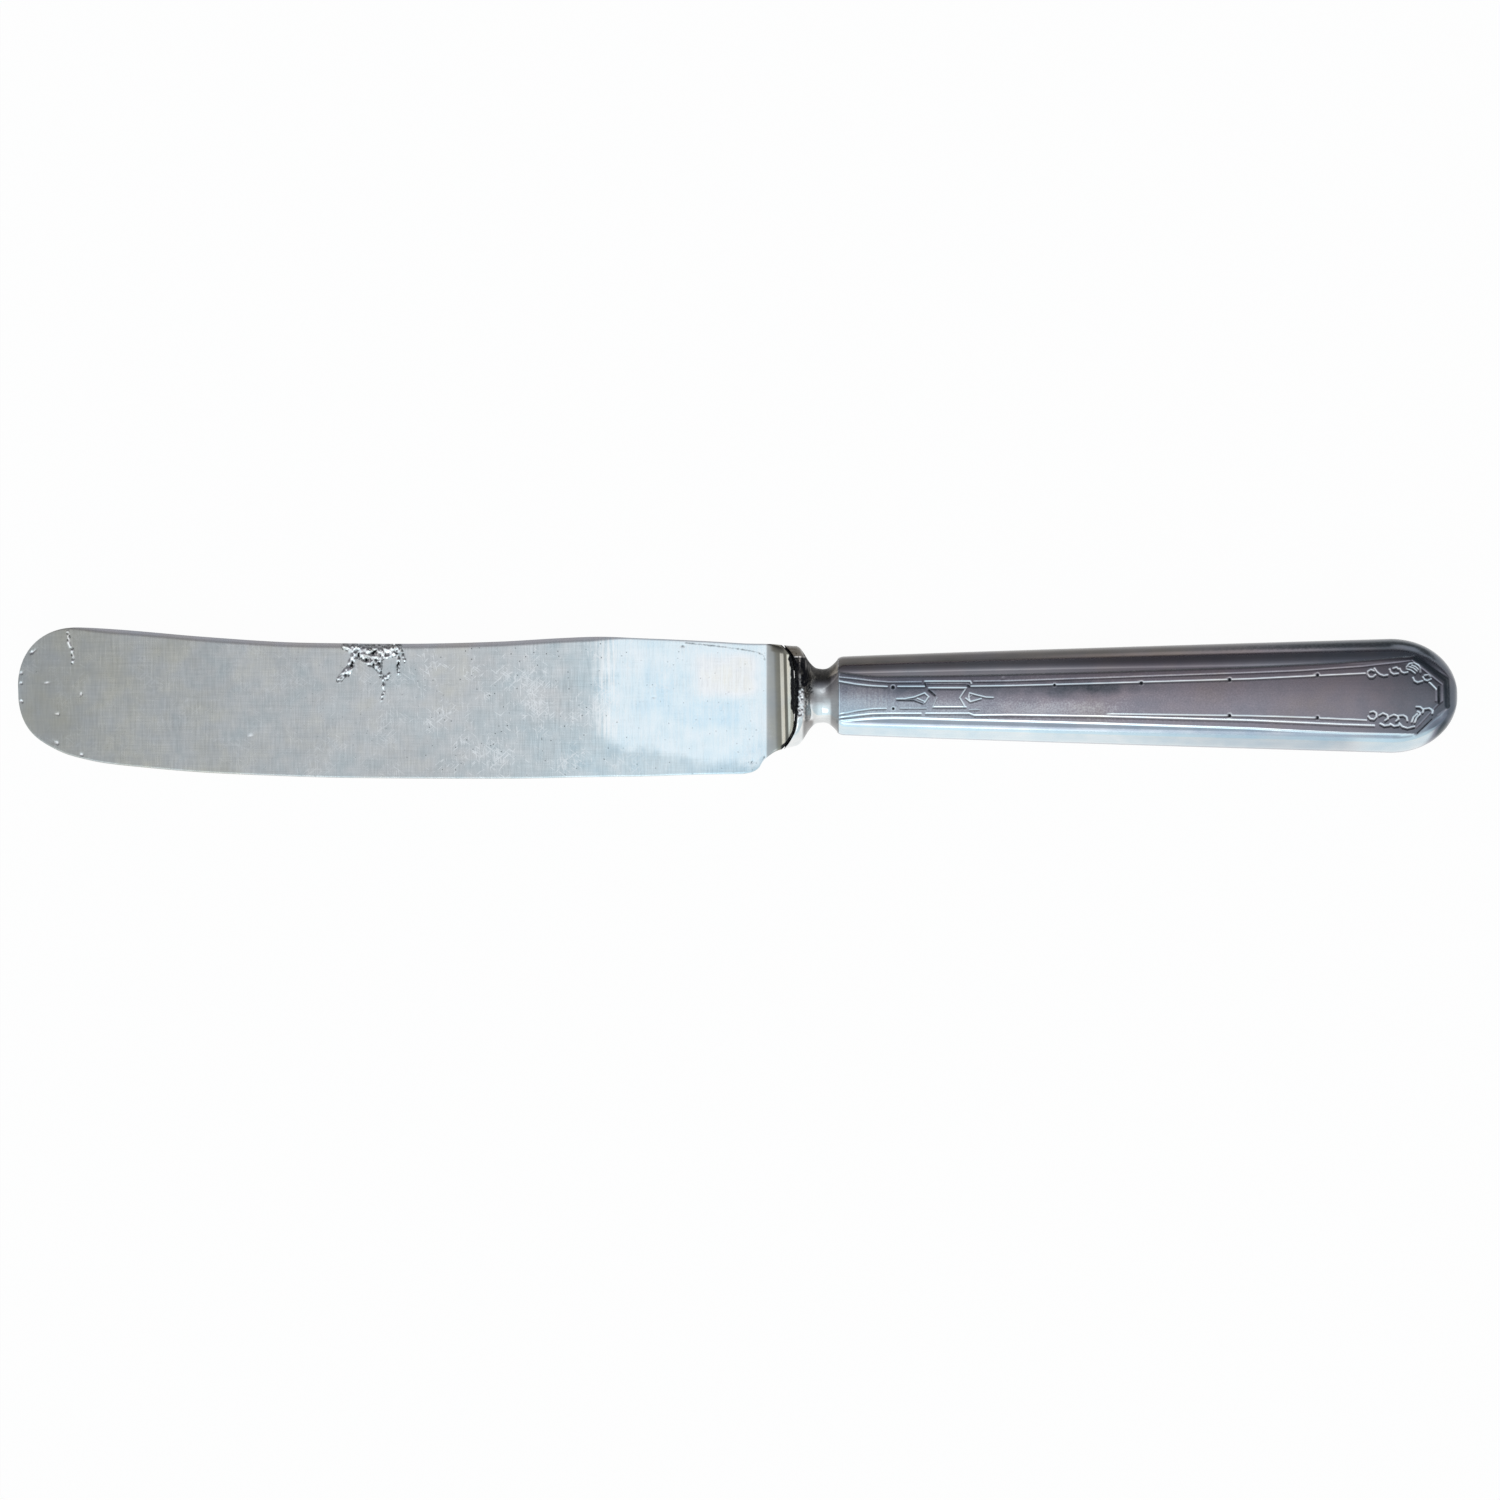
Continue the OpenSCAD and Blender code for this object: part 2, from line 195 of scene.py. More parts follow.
def lattice_noise(x, y, size, seed):
    """Smooth noise from -1 to 1 with features of about one size, in millimetres."""
    n = NOISE_CELLS
    table = np.random.RandomState(seed).uniform(-1, 1, (n, n))
    u, v = x / size, y / size
    i, j = np.floor(u).astype(int), np.floor(v).astype(int)
    s, t = ease(u - i), ease(v - j)
    low = mix(table[i % n, j % n], table[(i + 1) % n, j % n], s)
    high = mix(table[i % n, (j + 1) % n], table[(i + 1) % n, (j + 1) % n], s)
    return mix(low, high, t)


def rough_noise(x, y, size, seed):
    """Noise of about -1 to 1 in features of a size, with finer ones on them."""
    total = sum(lattice_noise(x, y, size / 2**k, seed + k) / 2**k for k in range(3))
    return total / 1.4


def picture(points):
    """Picture points as millimetres in the knife's plane."""
    return [((x - PX_X) * PX, (PX_Y - y) * PX) for x, y in points]


def on_picture(x, y):
    """Picture points of places in the knife's plane, in millimetres."""
    return x / PX + PX_X, PX_Y - y / PX


def as_seen(x, y, z):
    """Where points above the knife's plane show in the picture, which is measured in that plane."""
    nearer = VIEW_AWAY / (VIEW_AWAY - z)
    return VIEW_X + (x - VIEW_X) * nearer, VIEW_Y + (y - VIEW_Y) * nearer


def read_table(table, x):
    return np.interp(x, *np.array(table, float).T)


def patch(px, py, box, soft):
    """1 inside a box of the picture, fading over a soft edge."""
    x0, y0, x1, y1 = box
    return ease((px - x0) / soft) * ease((x1 - px) / soft) * ease((py - y0) / soft) * ease((y1 - py) / soft)


def grid_normals(points):
    """Unit normals of a grid of points, turned upwards."""
    normals = np.cross(np.gradient(points, axis=0), np.gradient(points, axis=1))
    normals /= np.maximum(np.linalg.norm(normals, axis=-1, keepdims=True), 1e-12)
    return normals * np.where(normals[..., 2:] < 0, -1, 1)


def path_distance(x, y, points):
    """Distance from a path of picture points, in millimetres."""
    path = picture(points)
    best = np.full(np.broadcast(x, y).shape, 1e3)
    for (ax, ay), (bx, by) in zip(path, path[1:] if len(path) > 1 else path):
        dx, dy = bx - ax, by - ay
        along = limit(((x - ax) * dx + (y - ay) * dy) / max(dx * dx + dy * dy, 1e-9))
        best = np.minimum(best, np.hypot(x - ax - along * dx, y - ay - along * dy))
    return best


def bump(distance, radius):
    """1 in the middle and 0 from the radius on."""
    return (1 - limit(np.abs(distance) / radius) ** 2) ** 2


def spot(u, v, middle_u, middle_v, half_u, half_v):
    """1 in the middle of an oval and 0 from its rim on."""
    return bump(np.hypot((u - middle_u) / half_u, (v - middle_v) / half_v), 1.0)


# Meshes

# Edges where two faces meet at more than this angle are shaded sharp.
SHARP_DEGREES = 50


def add_object(name, data):
    made = bpy.data.objects.new(name, data)
    bpy.context.scene.collection.objects.link(made)
    return made


def new_piece(name, points, faces, node, material, marks):
    """A piece from points in millimetres round the axis, with named marks for its material."""
    points = np.asarray(points, float) * MM
    points[:, 2] += AXIS_Z * MM
    points = np.clip(points, *np.array([list(c) for c in cad_bounds]))
    mesh = bpy.data.meshes.new(name)
    mesh.from_pydata(points.tolist(), [], [list(map(int, f)) for f in faces])
    mesh.validate()
    mesh.shade_smooth()
    mesh.set_sharp_from_angle(angle=math.radians(SHARP_DEGREES))
    for key, values in marks.items():
        mesh.attributes.new(key, "FLOAT", "POINT").data.foreach_set("value", np.asarray(values, float))
    mesh.materials.append(material)
    piece = add_object(name, mesh)
    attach(piece, "root")
    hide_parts(node)


def skin_faces(rings, n, first=0, wrap=False, turned=False):
    """Quads between rings of n points each."""
    faces = []
    for i in range(rings - 1):
        a = first + i * n
        for j in range(n if wrap else n - 1):
            k = (j + 1) % n
            quad = (a + j, a + n + j, a + n + k, a + k)
            faces.append(quad[::-1] if turned else quad)
    return faces


def zip_faces(a, b, at, bt, turned=False):
    """Triangles between two rows of points with their places from 0 to 1 along them."""
    faces = []
    i = j = 0
    while i < len(a) - 1 or j < len(b) - 1:
        step_a = j == len(b) - 1 or (i < len(a) - 1 and at[i + 1] <= bt[j + 1])
        face = (a[i], a[i + 1], b[j]) if step_a else (a[i], b[j + 1], b[j])
        faces.append(face[::-1] if turned else face)
        i, j = (i + 1, j) if step_a else (i, j + 1)
    return faces


def extend_marks(marks, count, tarnish_and_shading=0.0):
    """Marks with count more points, which are plain but for their tarnish."""
    more = {"tarnish_and_shading": np.full(count, tarnish_and_shading)}
    return {key: np.append(values, more.get(key, np.zeros(count))) for key, values in marks.items()}


# Materials

def feed(tree, target, values):
    """Link the outputs of other nodes to a node's sockets, and set plain values on them."""
    for key, value in values.items():
        if isinstance(value, bpy.types.NodeSocket):
            tree.links.new(value, target.inputs[key])
        else:
            target.inputs[key].default_value = value


def node(tree, kind, values=None, **settings):
    made = tree.nodes.new("ShaderNode" + kind)
    for key, value in settings.items():
        setattr(made, key, value)
    feed(tree, made, values or {})
    return made


def maths(tree, operation, a, b=0.5, c=0.5, clamp=False):
    return node(tree, "Math", {0: a, 1: b, 2: c}, operation=operation, use_clamp=clamp).outputs[0]


def times(tree, a, b, clamp=False):
    return maths(tree, "MULTIPLY", a, b, clamp=clamp)


def lowered(tree, value, amount=0.5):
    return maths(tree, "SUBTRACT", value, amount)


def blend_colour(tree, share, a, b, how="MIX"):
    return node(tree, "MixRGB", {0: share, 1: a, 2: b}, blend_type=how).outputs[0]


def colour(value):
    return (*value, 1.0)


def grey(tree, value):
    return node(tree, "CombineColor", {0: value, 1: value, 2: value}).outputs[0]


def ranged(tree, value, low, high, to_low=0.0, to_high=1.0):
    values = {"Value": value, "From Min": low, "From Max": high, "To Min": to_low, "To Max": to_high}
    return node(tree, "MapRange", values).outputs[0]


def place(tree, scale=(1, 1, 1), turn=0.0):
    """Object coordinates in millimetres, stretched and turned about Z."""
    source = node(tree, "TexCoord").outputs["Object"]
    scaled = [s / MM for s in scale]
    turned = node(tree, "Mapping", {"Vector": source, "Rotation": (0, 0, turn)}).outputs[0]
    return node(tree, "Mapping", {"Vector": turned, "Scale": scaled}).outputs[0]


def noise(tree, size, detail=2.0, stretch=(1, 1, 1), turn=0.0):
    """Noise with features of a size in millimetres."""
    where = place(tree, [s / size for s in stretch], turn)
    return node(tree, "TexNoise", {"Vector": where, "Scale": 1.0, "Detail": detail}).outputs["Fac"]


def mark(tree, name):
    return node(tree, "Attribute", attribute_name=name).outputs["Fac"]


def colour_ramp(tree, value, stops):
    """Colour through stops of (position, colour)."""
    ramp = node(tree, "ValToRGB", {0: value})
    elements = ramp.color_ramp.elements
    elements[0].position = stops[0][0]
    elements[-1].position = stops[-1][0]
    for position, _ in stops[1:-1]:
        elements.new(position)
    for element, (_, tone) in zip(elements, stops):
        element.color = colour(tone)
    return ramp.outputs[0]


def relief(tree, height, strength, depth):
    """Normals of fine relief, with its depth in millimetres."""
    return node(tree, "Bump", {"Height": height, "Strength": strength, "Distance": depth * MM}).outputs[0]


def new_material(name):
    """A new material with its node tree and its shader."""
    material = bpy.data.materials.new(name)
    material.use_nodes = True
    return material, material.node_tree, material.node_tree.nodes["Principled BSDF"]


def scratches(tree, turn):
    """Sparse thin lines in one direction, closer together in some places."""
    thin = noise(tree, 0.22, 1.0, (0.13, 1, 1), turn)
    crowded = noise(tree, 6.0, 1.0)
    return ranged(tree, maths(tree, "MULTIPLY_ADD", crowded, 0.5, thin), 0.93, 1.0)


def pits(tree):
    """Sparse dots of different sizes."""
    cells = node(tree, "TexVoronoi", {"Vector": place(tree, [1 / 1.2] * 3), "Scale": 1.0})
    return ranged(tree, cells.outputs["Distance"], 0.05, 0.12, 0.45, 0.0)


# Colours that the metal is multiplied by, from the lowest hue to the highest.
TINTS = [
    (0.0, (1.0, 0.95, 0.82)), (0.4, (1.0, 1.0, 1.0)), (0.8, (0.84, 0.955, 1.0)), (1.0, (0.74, 0.91, 1.0))]
LOWEST_HUE = -1.0
HIGHEST_HUE = 1.5
# Bright metal in the streaks and in the scratches.
STREAK_TONE = (1.0, 1.0, 0.985)
SCUFF_TONE = (0.95, 0.96, 0.96)
SCUFF_TURNS = (0.6, -0.75, 1.45)
# Directions in which the plate's fine lines are drawn out.
ALONG = (0.06, 1, 1)
ACROSS = (1, 0.06, 1)


def plate_tarnish_and_shading(tree, mottle, blotch, long_lines):
    """Marked tarnish and painted shading, uneven in clouds, spots and lines, with brushing and dust where
    marked.
    """
    marked = mark(tree, "tarnish_and_shading")
    uneven = maths(tree, "ADD", times(tree, noise(tree, 14.0, 4.0), 0.9), times(tree, blotch, 0.6))
    uneven = maths(tree, "ADD", uneven, times(tree, long_lines, 0.5))
    uneven = times(tree, lowered(tree, uneven, 1.0), mottle)
    uneven = times(tree, uneven, ranged(tree, marked, 0.0, 0.4, 0.8, 1.0))
    crossed = maths(tree, "MULTIPLY_ADD", noise(tree, 0.2, 1.0, ALONG), 0.5, noise(tree, 0.2, 1.0, ACROSS))
    brushed = times(tree, lowered(tree, crossed, 0.75), times(tree, mark(tree, "brush"), 0.2))
    dust = lowered(tree, noise(tree, 0.25, 1.0))
    brushed = maths(tree, "MULTIPLY_ADD", dust, mark(tree, "dust"), brushed)
    return maths(tree, "ADD", maths(tree, "ADD", marked, uneven), brushed, clamp=True)


def plate_tint(tree, tinting, blotch):
    """Tint by the marked hue, which drifts in patches."""
    drift = maths(tree, "MULTIPLY_ADD", lowered(tree, blotch), 0.6, lowered(tree, noise(tree, 9.0, 3.0)))
    hue = maths(tree, "MULTIPLY_ADD", drift, tinting, mark(tree, "hue"))
    return colour_ramp(tree, ranged(tree, hue, LOWEST_HUE, HIGHEST_HUE), TINTS)


def plate_dirt_and_shade(tree, speck):
    """Dirt and painted shade in specks where they are marked, and dirt in pits where scuffs are."""
    marked_grime_and_shade = mark(tree, "grime_and_shade")
    dirt_and_shade = maths(tree, "MULTIPLY_ADD", speck, 0.7, maths(tree, "MULTIPLY_ADD", marked_grime_and_shade, 1.4, -0.55))
    dirt_and_shade = times(tree, dirt_and_shade, ranged(tree, marked_grime_and_shade, 0.0, 0.3), clamp=True)
    return maths(tree, "MAXIMUM", dirt_and_shade, times(tree, pits(tree), mark(tree, "scuff")))


def plate_scuffs(tree):
    """Scratches in three directions, where scuffs are marked."""
    first, second, third = [scratches(tree, turn) for turn in SCUFF_TURNS]
    scuffs = maths(tree, "MAXIMUM", maths(tree, "MAXIMUM", first, second), third)
    return times(tree, scuffs, mark(tree, "scuff"), clamp=True)


def metal(name, tones, grime_and_shade, rough, mottle, tinting=1.6):
    """Silver plate in three tones, from clean to stained, picked by tarnish and painted shading, with tints,
    streaks, scratches, dirt and painted shade.
    """
    material, tree, shader = new_material(name)
    blotch = noise(tree, 2.6, 3.0)
    speck = noise(tree, 0.4, 2.0)
    long_lines = noise(tree, 0.35, 3.0, (0.02, 1, 1))
    cross_lines = noise(tree, 0.42, 3.0, (1, 0.05, 1))
    tarnish_and_shading = plate_tarnish_and_shading(tree, mottle, blotch, long_lines)
    base = colour_ramp(tree, tarnish_and_shading, list(zip((0.0, 0.5, 1.0), tones)))
    base = blend_colour(tree, 1.0, base, plate_tint(tree, tinting, blotch), "MULTIPLY")
    streaks = times(tree, mark(tree, "streak"), ranged(tree, cross_lines, 0.42, 0.62))
    base = blend_colour(tree, times(tree, streaks, 0.9), base, colour(STREAK_TONE))
    base = blend_colour(tree, times(tree, plate_scuffs(tree), 0.5), base, colour(SCUFF_TONE))
    dirt_and_shade = plate_dirt_and_shade(tree, speck)
    base = blend_colour(tree, dirt_and_shade, base, colour(grime_and_shade))
    wear = ranged(tree, tarnish_and_shading, 0.0, 0.7, *rough)
    wear = maths(tree, "MULTIPLY_ADD", lowered(tree, blotch), 0.08, wear)
    wear = maths(tree, "MULTIPLY_ADD", dirt_and_shade, 0.3, wear, clamp=True)
    height = maths(tree, "ADD", long_lines, times(tree, speck, 0.2))
    height = maths(tree, "ADD", height, times(tree, streaks, 0.8))
    feed(tree, shader, {
        "Base Color": base, "Metallic": maths(tree, "SUBTRACT", 1.0, dirt_and_shade, clamp=True), "Roughness": wear,
        "Normal": relief(tree, height, 0.2, 0.01), "Specular IOR Level": 0.05})
    return material


def crusty(name, base_colour, spot_colour, size, metallic, rough, gloss=0.5):
    """Solder or cement: two tones in grains, matt and uneven."""
    material, tree, shader = new_material(name)
    fine = noise(tree, size / 5, 3.0)
    share = ranged(tree, maths(tree, "MULTIPLY_ADD", fine, 0.4, noise(tree, size, 4.0)), 0.55, 0.85)
    feed(tree, shader, {
        "Base Color": blend_colour(tree, share, colour(base_colour), colour(spot_colour)),
        "Roughness": ranged(tree, fine, 0.3, 0.7, rough, rough + 0.2), "Metallic": metallic,
        "Normal": relief(tree, fine, 0.6, 0.1), "Specular IOR Level": gloss})
    return material


blade_plate = metal(
    "blade_plate", ((0.97, 0.97, 0.97), (0.41, 0.42, 0.415), (0.12, 0.12, 0.115)), (0.008, 0.008, 0.01),
    (0.2, 0.32), mottle=0.13, tinting=1.9)
bolster_plate = metal(
    "bolster_plate", ((0.92, 0.92, 0.91), (0.36, 0.345, 0.34), (0.1, 0.09, 0.08)), (0.007, 0.007, 0.01),
    (0.12, 0.26), mottle=0.3)
handle_plate = metal(
    "handle_plate", ((0.94, 0.94, 0.94), (0.325, 0.288, 0.322), (0.075, 0.08, 0.089)), (0.016, 0.019, 0.024),
    (0.12, 0.22), mottle=0.12)
dark_solder = crusty("dark_solder", (0.008, 0.008, 0.01), (0.04, 0.04, 0.04), 0.35, 0.05, 0.6, gloss=0.05)
soft_solder = crusty("soft_solder", (0.24, 0.24, 0.25), (0.42, 0.42, 0.43), 0.6, 0.9, 0.35)
cement = crusty("cement", (0.42, 0.3, 0.23), (0.6, 0.48, 0.38), 1.2, 0.0, 0.8)


# Outline of the blade and the flange

def tip_round(x):
    return rounding(1 - (x - TIP_X) / TIP_L, TIP_POWER)


def back_y(x):
    flat = TIP_RISE + BLADE_W * smooth_at(BACK_SHARES, (x - TIP_X) / BLADE_L) * tip_round(x)
    return mix(flat, FLANGE_Y, ease((x - COVE_X) / (LAND_X - COVE_X)))


def edge_y(x):
    flat = TIP_RISE - BLADE_W * smooth_at(EDGE_SHARES, (x - TIP_X) / BLADE_L) * tip_round(x)
    return mix(flat, -FLANGE_Y, smooth_at(HEEL_SHARES, (x - HEEL_X) / HEEL_L))


def flange_shift(y):
    """How far the flange's bow moves the joint at y."""
    return -FLANGE_BOW * (np.minimum(np.abs(y), FLANGE_Y) / FLANGE_Y) ** FLANGE_BOW_POWER


def oval(height, flat):
    """Half thickness of a section at a height from -1 to 1, flat in its middle."""
    side = limit((np.abs(height) - flat) / (1 - flat))
    return np.sqrt(1 - side**2)


# Blade

# Corroded place at the blade's back, as strands with a half width in picture points.
CORROSION = [
    ([(345, 646.5), (352, 650), (356, 651)], 3.0),
    ([(356, 650), (364, 653), (372, 653), (381, 654), (390, 651), (397, 649)], 5.4),
    ([(355, 652), (353, 660), (350.6, 667), (345, 674), (340, 679.5)], 2.6),
    ([(351.7, 667), (350, 675.5)], 1.5),
    ([(360, 655), (367, 660), (375, 664)], 3.2),
    ([(372, 655), (377, 662), (379, 667)], 4.0),
    ([(379, 668), (381, 675.4), (387, 678.6), (389.8, 675)], 1.9),
    ([(383, 678), (384.2, 683), (383.7, 688.4), (384.2, 692.5), (381.5, 699.5)], 1.3),
    ([(397, 651), (398.8, 658), (398.3, 666.7), (398.8, 673)], 1.5),
    ([(402, 650), (404.8, 661)], 1.3),
]
# Dark line of painted shade along the back's arris over the corroded place.
CORROSION_TOP = [(346, 645.6), (372, 645.2), (402, 646)]
# The small hole at the right end of the corroded place, with a raised ring round it.
CORROSION_HOLE = (397, 651)
CRACK = [(68, 632), (69.3, 637.6), (68.9, 642.5), (70.8, 647), (72.6, 649), (72.4, 652), (73.1, 655.5),
         (73.9, 658.2), (72.7, 662.8)]
# Small dents and nicks: place, radius in picture points and depth in millimetres.
DENTS = [
    (21.2, 673, 2.2, 0.16), (21.0, 683, 2.0, 0.12), (21.4, 701, 2.2, 0.12), (32, 652.4, 2.2, 0.16),
    (34.5, 670.5, 1.6, 0.08), (47, 682.7, 1.3, 0.04), (81.2, 693.8, 1.6, 0.08), (58.2, 713.7, 1.6, 0.05),
    (57, 743, 2.2, 0.1), (81.5, 754.6, 2.2, 0.1), (263, 674, 1.5, 0.06), (251, 735, 1.5, 0.06),
    (653.8, 697.3, 1.3, 0.08), (764, 757, 2.0, 0.12), (752, 762, 1.8, 0.1), (683, 646, 1.8, 0.07)]
# Dents left of this picture place get a painted highlight, and those right of it hold dirt.
LIT_DENTS_PX = 300
# How far the painted shade of a highlit dent lies to its lower right, in millimetres.
DENT_SHADE = 0.22


def corrosion_at(x, y):
    share = np.zeros(np.broadcast(x, y).shape)
    for path, half_width in CORROSION:
        ragged = half_width * PX * (1.25 + 0.5 * rough_noise(x, y, 0.8, 5))
        share = np.maximum(share, limit(1.6 * (1 - path_distance(x, y, path) / ragged)))
    return share


def blade_wear(x, y):
    """Height change of the blade's face, its dirt and painted shade, and how bright its bare spots and
    painted highlights are.
    """
    lumps = rough_noise(x, y, 0.5, 11)
    corroded = corrosion_at(x, y)
    border_dirt_and_shade = bump(corroded - 0.25, 0.25)
    top_shade = bump(path_distance(x, y, CORROSION_TOP), 0.3)
    hole = path_distance(x, y, [CORROSION_HOLE])
    crack = path_distance(x, y, CRACK)
    beads = limit(0.55 + 1.3 * lattice_noise(y, x, 0.36, 25))
    change = corroded * (0.08 + 0.3 * lumps)
    change += 0.2 * bump(hole - 0.55, 0.25) - 0.2 * bump(hole, 0.4)
    change += bump(crack, 0.24) * (0.16 * beads - 0.06)
    # painted shade darkens the rims of the corroded strands and the back's arris above them, with dirt, and
    # a painted highlight brightens their raised tops
    grime_and_shade = np.maximum.reduce([
        0.9 * border_dirt_and_shade * limit(0.6 - lumps), corroded * limit(-0.15 - 2.0 * lumps),
        0.85 * top_shade * limit(0.7 + lumps), 0.8 * bump(hole, 0.35),
        0.7 * bump(crack - 0.2, 0.2) * (1 - beads)])
    bare_and_highlit = np.maximum(corroded * limit(0.75 + 1.6 * lumps), limit(1.6 * bump(crack, 0.3)) * beads)
    for px, py, radius, depth in DENTS:
        dent = bump(path_distance(x, y, [(px, py)]), radius * PX)
        change -= depth * dent
        if px < LIT_DENTS_PX:
            bare_and_highlit = np.maximum(bare_and_highlit, limit(2 * dent))
            shade = bump(path_distance(x - DENT_SHADE, y + DENT_SHADE, [(px, py)]), radius * PX)
            grime_and_shade = np.maximum(grime_and_shade, 0.6 * shade) * (1 - limit(2 * dent))
        else:
            grime_and_shade = np.maximum(grime_and_shade, 0.7 * dent)
    return change, grime_and_shade, bare_and_highlit


# The part of a circle's arc that the cove leaves out at its start, where the arc is level.
COVE_START = 0.17
# The narrow flat along the back: its width and its drop at the back, in millimetres.
BACK_FLAT_W = 0.8
BACK_FLAT_DROP = 0.13
# Rounding of the cutting edge and of the arris at the joint, in millimetres.
EDGE_ROUND_W = 0.3
ARRIS_ROUND_L = 0.35
ARRIS_DROP = 0.22


def cove_rise(u):
    """How far the hollow shoulder has risen, from 0 to 1, at a share of the cove's length."""
    level = math.sqrt(1 - COVE_START**2)
    return (level - np.sqrt(1 - mix(COVE_START, 1, u) ** 2)) / level


def blade_skin(x, q, face):
    """Points of one face of the blade from its edge, q = 0, to its back, q = 1, and its wear."""
    u = limit((x - COVE_X) / COVE_L)
    height = 2 * q - 1
    top = back_y(x + u * flange_shift(FLANGE_Y))
    bottom = edge_y(x + u * flange_shift(-FLANGE_Y))
    y = mix(bottom, top, q)
    back = mix(TIP_T, BACK_T, limit((x - TIP_X) / BLADE_L))
    wedge = mix(EDGE_T, back, q) / 2
    rise = cove_rise(u)
    z = mix(wedge, FLANGE_Z * oval(height, FLANGE_FLAT), rise)
    # the flat along the back fades out at both of its ends
    flat_w = BACK_FLAT_W * ease((x - TIP_X - 4) / 12) * (1 - 0.75 * ease((x + 36) / 8))
    from_back = top - y
    z = z - BACK_FLAT_DROP * flat_w / BACK_FLAT_W * limit(1 - from_back / np.maximum(flat_w, 0.05)) * (1 - u)
    from_edge = limit((y - bottom) / EDGE_ROUND_W)
    z = np.where(u > 0, z, z * (0.25 + 0.75 * np.sqrt(1 - (1 - from_edge) ** 2)))
    z = np.minimum(z - ARRIS_DROP * bump(COVE_END_X - x, ARRIS_ROUND_L) * (u > 0), AXIS_Z)
    bent_x = x + u * flange_shift(height * FLANGE_Y)
    change, grime_and_shade, bare_and_highlit = blade_wear(bent_x, y) if face > 0 else (0 * z, 0 * z, 0 * z)
    strip = limit(2 * (flat_w - from_back)) * limit(flat_w / 0.4) * (1 - u)
    room = climb(x, TIP_X, 1.0) * (1 - rise)
    z = np.maximum(z + change * room, 0.05)
    return np.stack([bent_x, y, face * z], -1), np.stack([grime_and_shade, bare_and_highlit, strip], -1)


# Tarnish, hue, scratches and brushing by the picture's x along the blade.
BLADE_TARNISH = [(0, 0.55), (100, 0.48), (250, 0.4), (465, 0.32), (560, 0.27), (620, 0.17), (800, 0.17)]
BLADE_HUE = [(0, -0.25), (100, -0.4), (300, -0.05), (465, 0.15), (560, 0.5), (620, 0.95), (800, 0.95)]
BLADE_SCUFF = [(0, 0.15), (250, 0.25), (400, 0.6), (450, 1.3), (600, 1.4), (640, 0.8), (760, 0.6)]
BLADE_BRUSH = [(0, 0.8), (450, 0.8), (560, 1.2), (640, 1.0), (700, 0.9), (760, 0.8)]
# Tarnish and hue by the picture's x along the cove up to the joint, from where the cove begins; its light
# and dark stripes are painted reflections.
COVE_PX = 766
COVE_TARNISH_AND_REFLECTIONS = [
    (766, 0.44), (774, 0.55), (776, 0.75), (780.2, 0.82), (781, 0.24), (784, 0.26), (784.6, 0.92),
    (787, 0.9), (787.8, 0.13), (793, 0.18), (793.8, 0.8)]
COVE_HUE = [(766, 0.1), (775, -0.2), (778, -1.0), (793, -1.0)]
# Lower edge of the heel's bright face, as picture points.
HEEL_LOW = [(600, 738), (626, 748), (652, 750), (698, 762), (740, 764), (768, 764)]
WARM_PATCH = (690, 649, 762, 702)
BLUE_PATCH = (676, 692, 754, 734)
# How far the cove's stripes move to the right for each picture point downwards from this height.
STRIPE_SLANT = 0.025
STRIPE_PY = 692.0
# Ridge between the heel's face and the facet that widens along its back.
HEEL_RIDGE = [(686, 643), (720, 646.6), (745, 650), (757, 652.4), (763, 655), (765, 660)]


def blade_marks(x, y):
    """Tarnish, hue, streaks, scuffs, brushing and grime of the plate at each point, with painted reflections
    on the heel and in the cove.
    """
    px, py = on_picture(x, y)
    left = 604 + 4 * lattice_noise(y, 0 * y, 1.6, 21) + 6 * rough_noise(x, y, 0.5, 23)
    low = read_table(HEEL_LOW, px) + 3 * rough_noise(x, y, 1.1, 22)
    above_low = ease((low - py + 8) / 16)
    # The heel's face is lighter and bluer: partly cleaner metal, partly a painted reflection.
    heel_clean_and_reflection = ease((px - left + 15) / 30) * above_low
    warm = patch(px, py, WARM_PATCH, 14)
    tarnish_and_shading = mix(read_table(BLADE_TARNISH, px), 0.03 * warm, heel_clean_and_reflection)
    below = climb(px, 590, 60) * (1 - above_low)
    hue = mix(read_table(BLADE_HUE, px), -0.15, warm) + 0.4 * patch(px, py, BLUE_PATCH, 16) + 0.3 * below
    stripe_px = px - STRIPE_SLANT * (py - STRIPE_PY)
    cove = climb(px, COVE_PX, 1.6)
    # the brown facet where the back runs into the flange, darkened as painted shade
    shaded_facet = ease((651 + 0.2 * (px - COVE_PX) - py) / 1.5) * climb(px, 769, 5)
    tarnish_and_shading = mix(tarnish_and_shading, mix(read_table(COVE_TARNISH_AND_REFLECTIONS, stripe_px), 0.85, shaded_facet), cove)
    hue = mix(hue, mix(read_table(COVE_HUE, stripe_px), -0.8, shaded_facet), cove)
    plain = 1 - cove
    fuzzy = bump(px - 608, 24) * climb(py, 746, -16)
    streak = np.maximum(heel_clean_and_reflection * (0.28 + 0.72 * warm), 0.9 * fuzzy) * plain
    ridge = bump(path_distance(x, y, HEEL_RIDGE), 0.28)
    return {
        "tarnish_and_shading": tarnish_and_shading, "hue": hue, "streak": streak, "scuff": read_table(BLADE_SCUFF, px) * plain,
        "brush": read_table(BLADE_BRUSH, px) * plain,
        "grime_and_shade": ridge * limit(0.42 + 0.25 * rough_noise(x, y, 0.4, 24))}


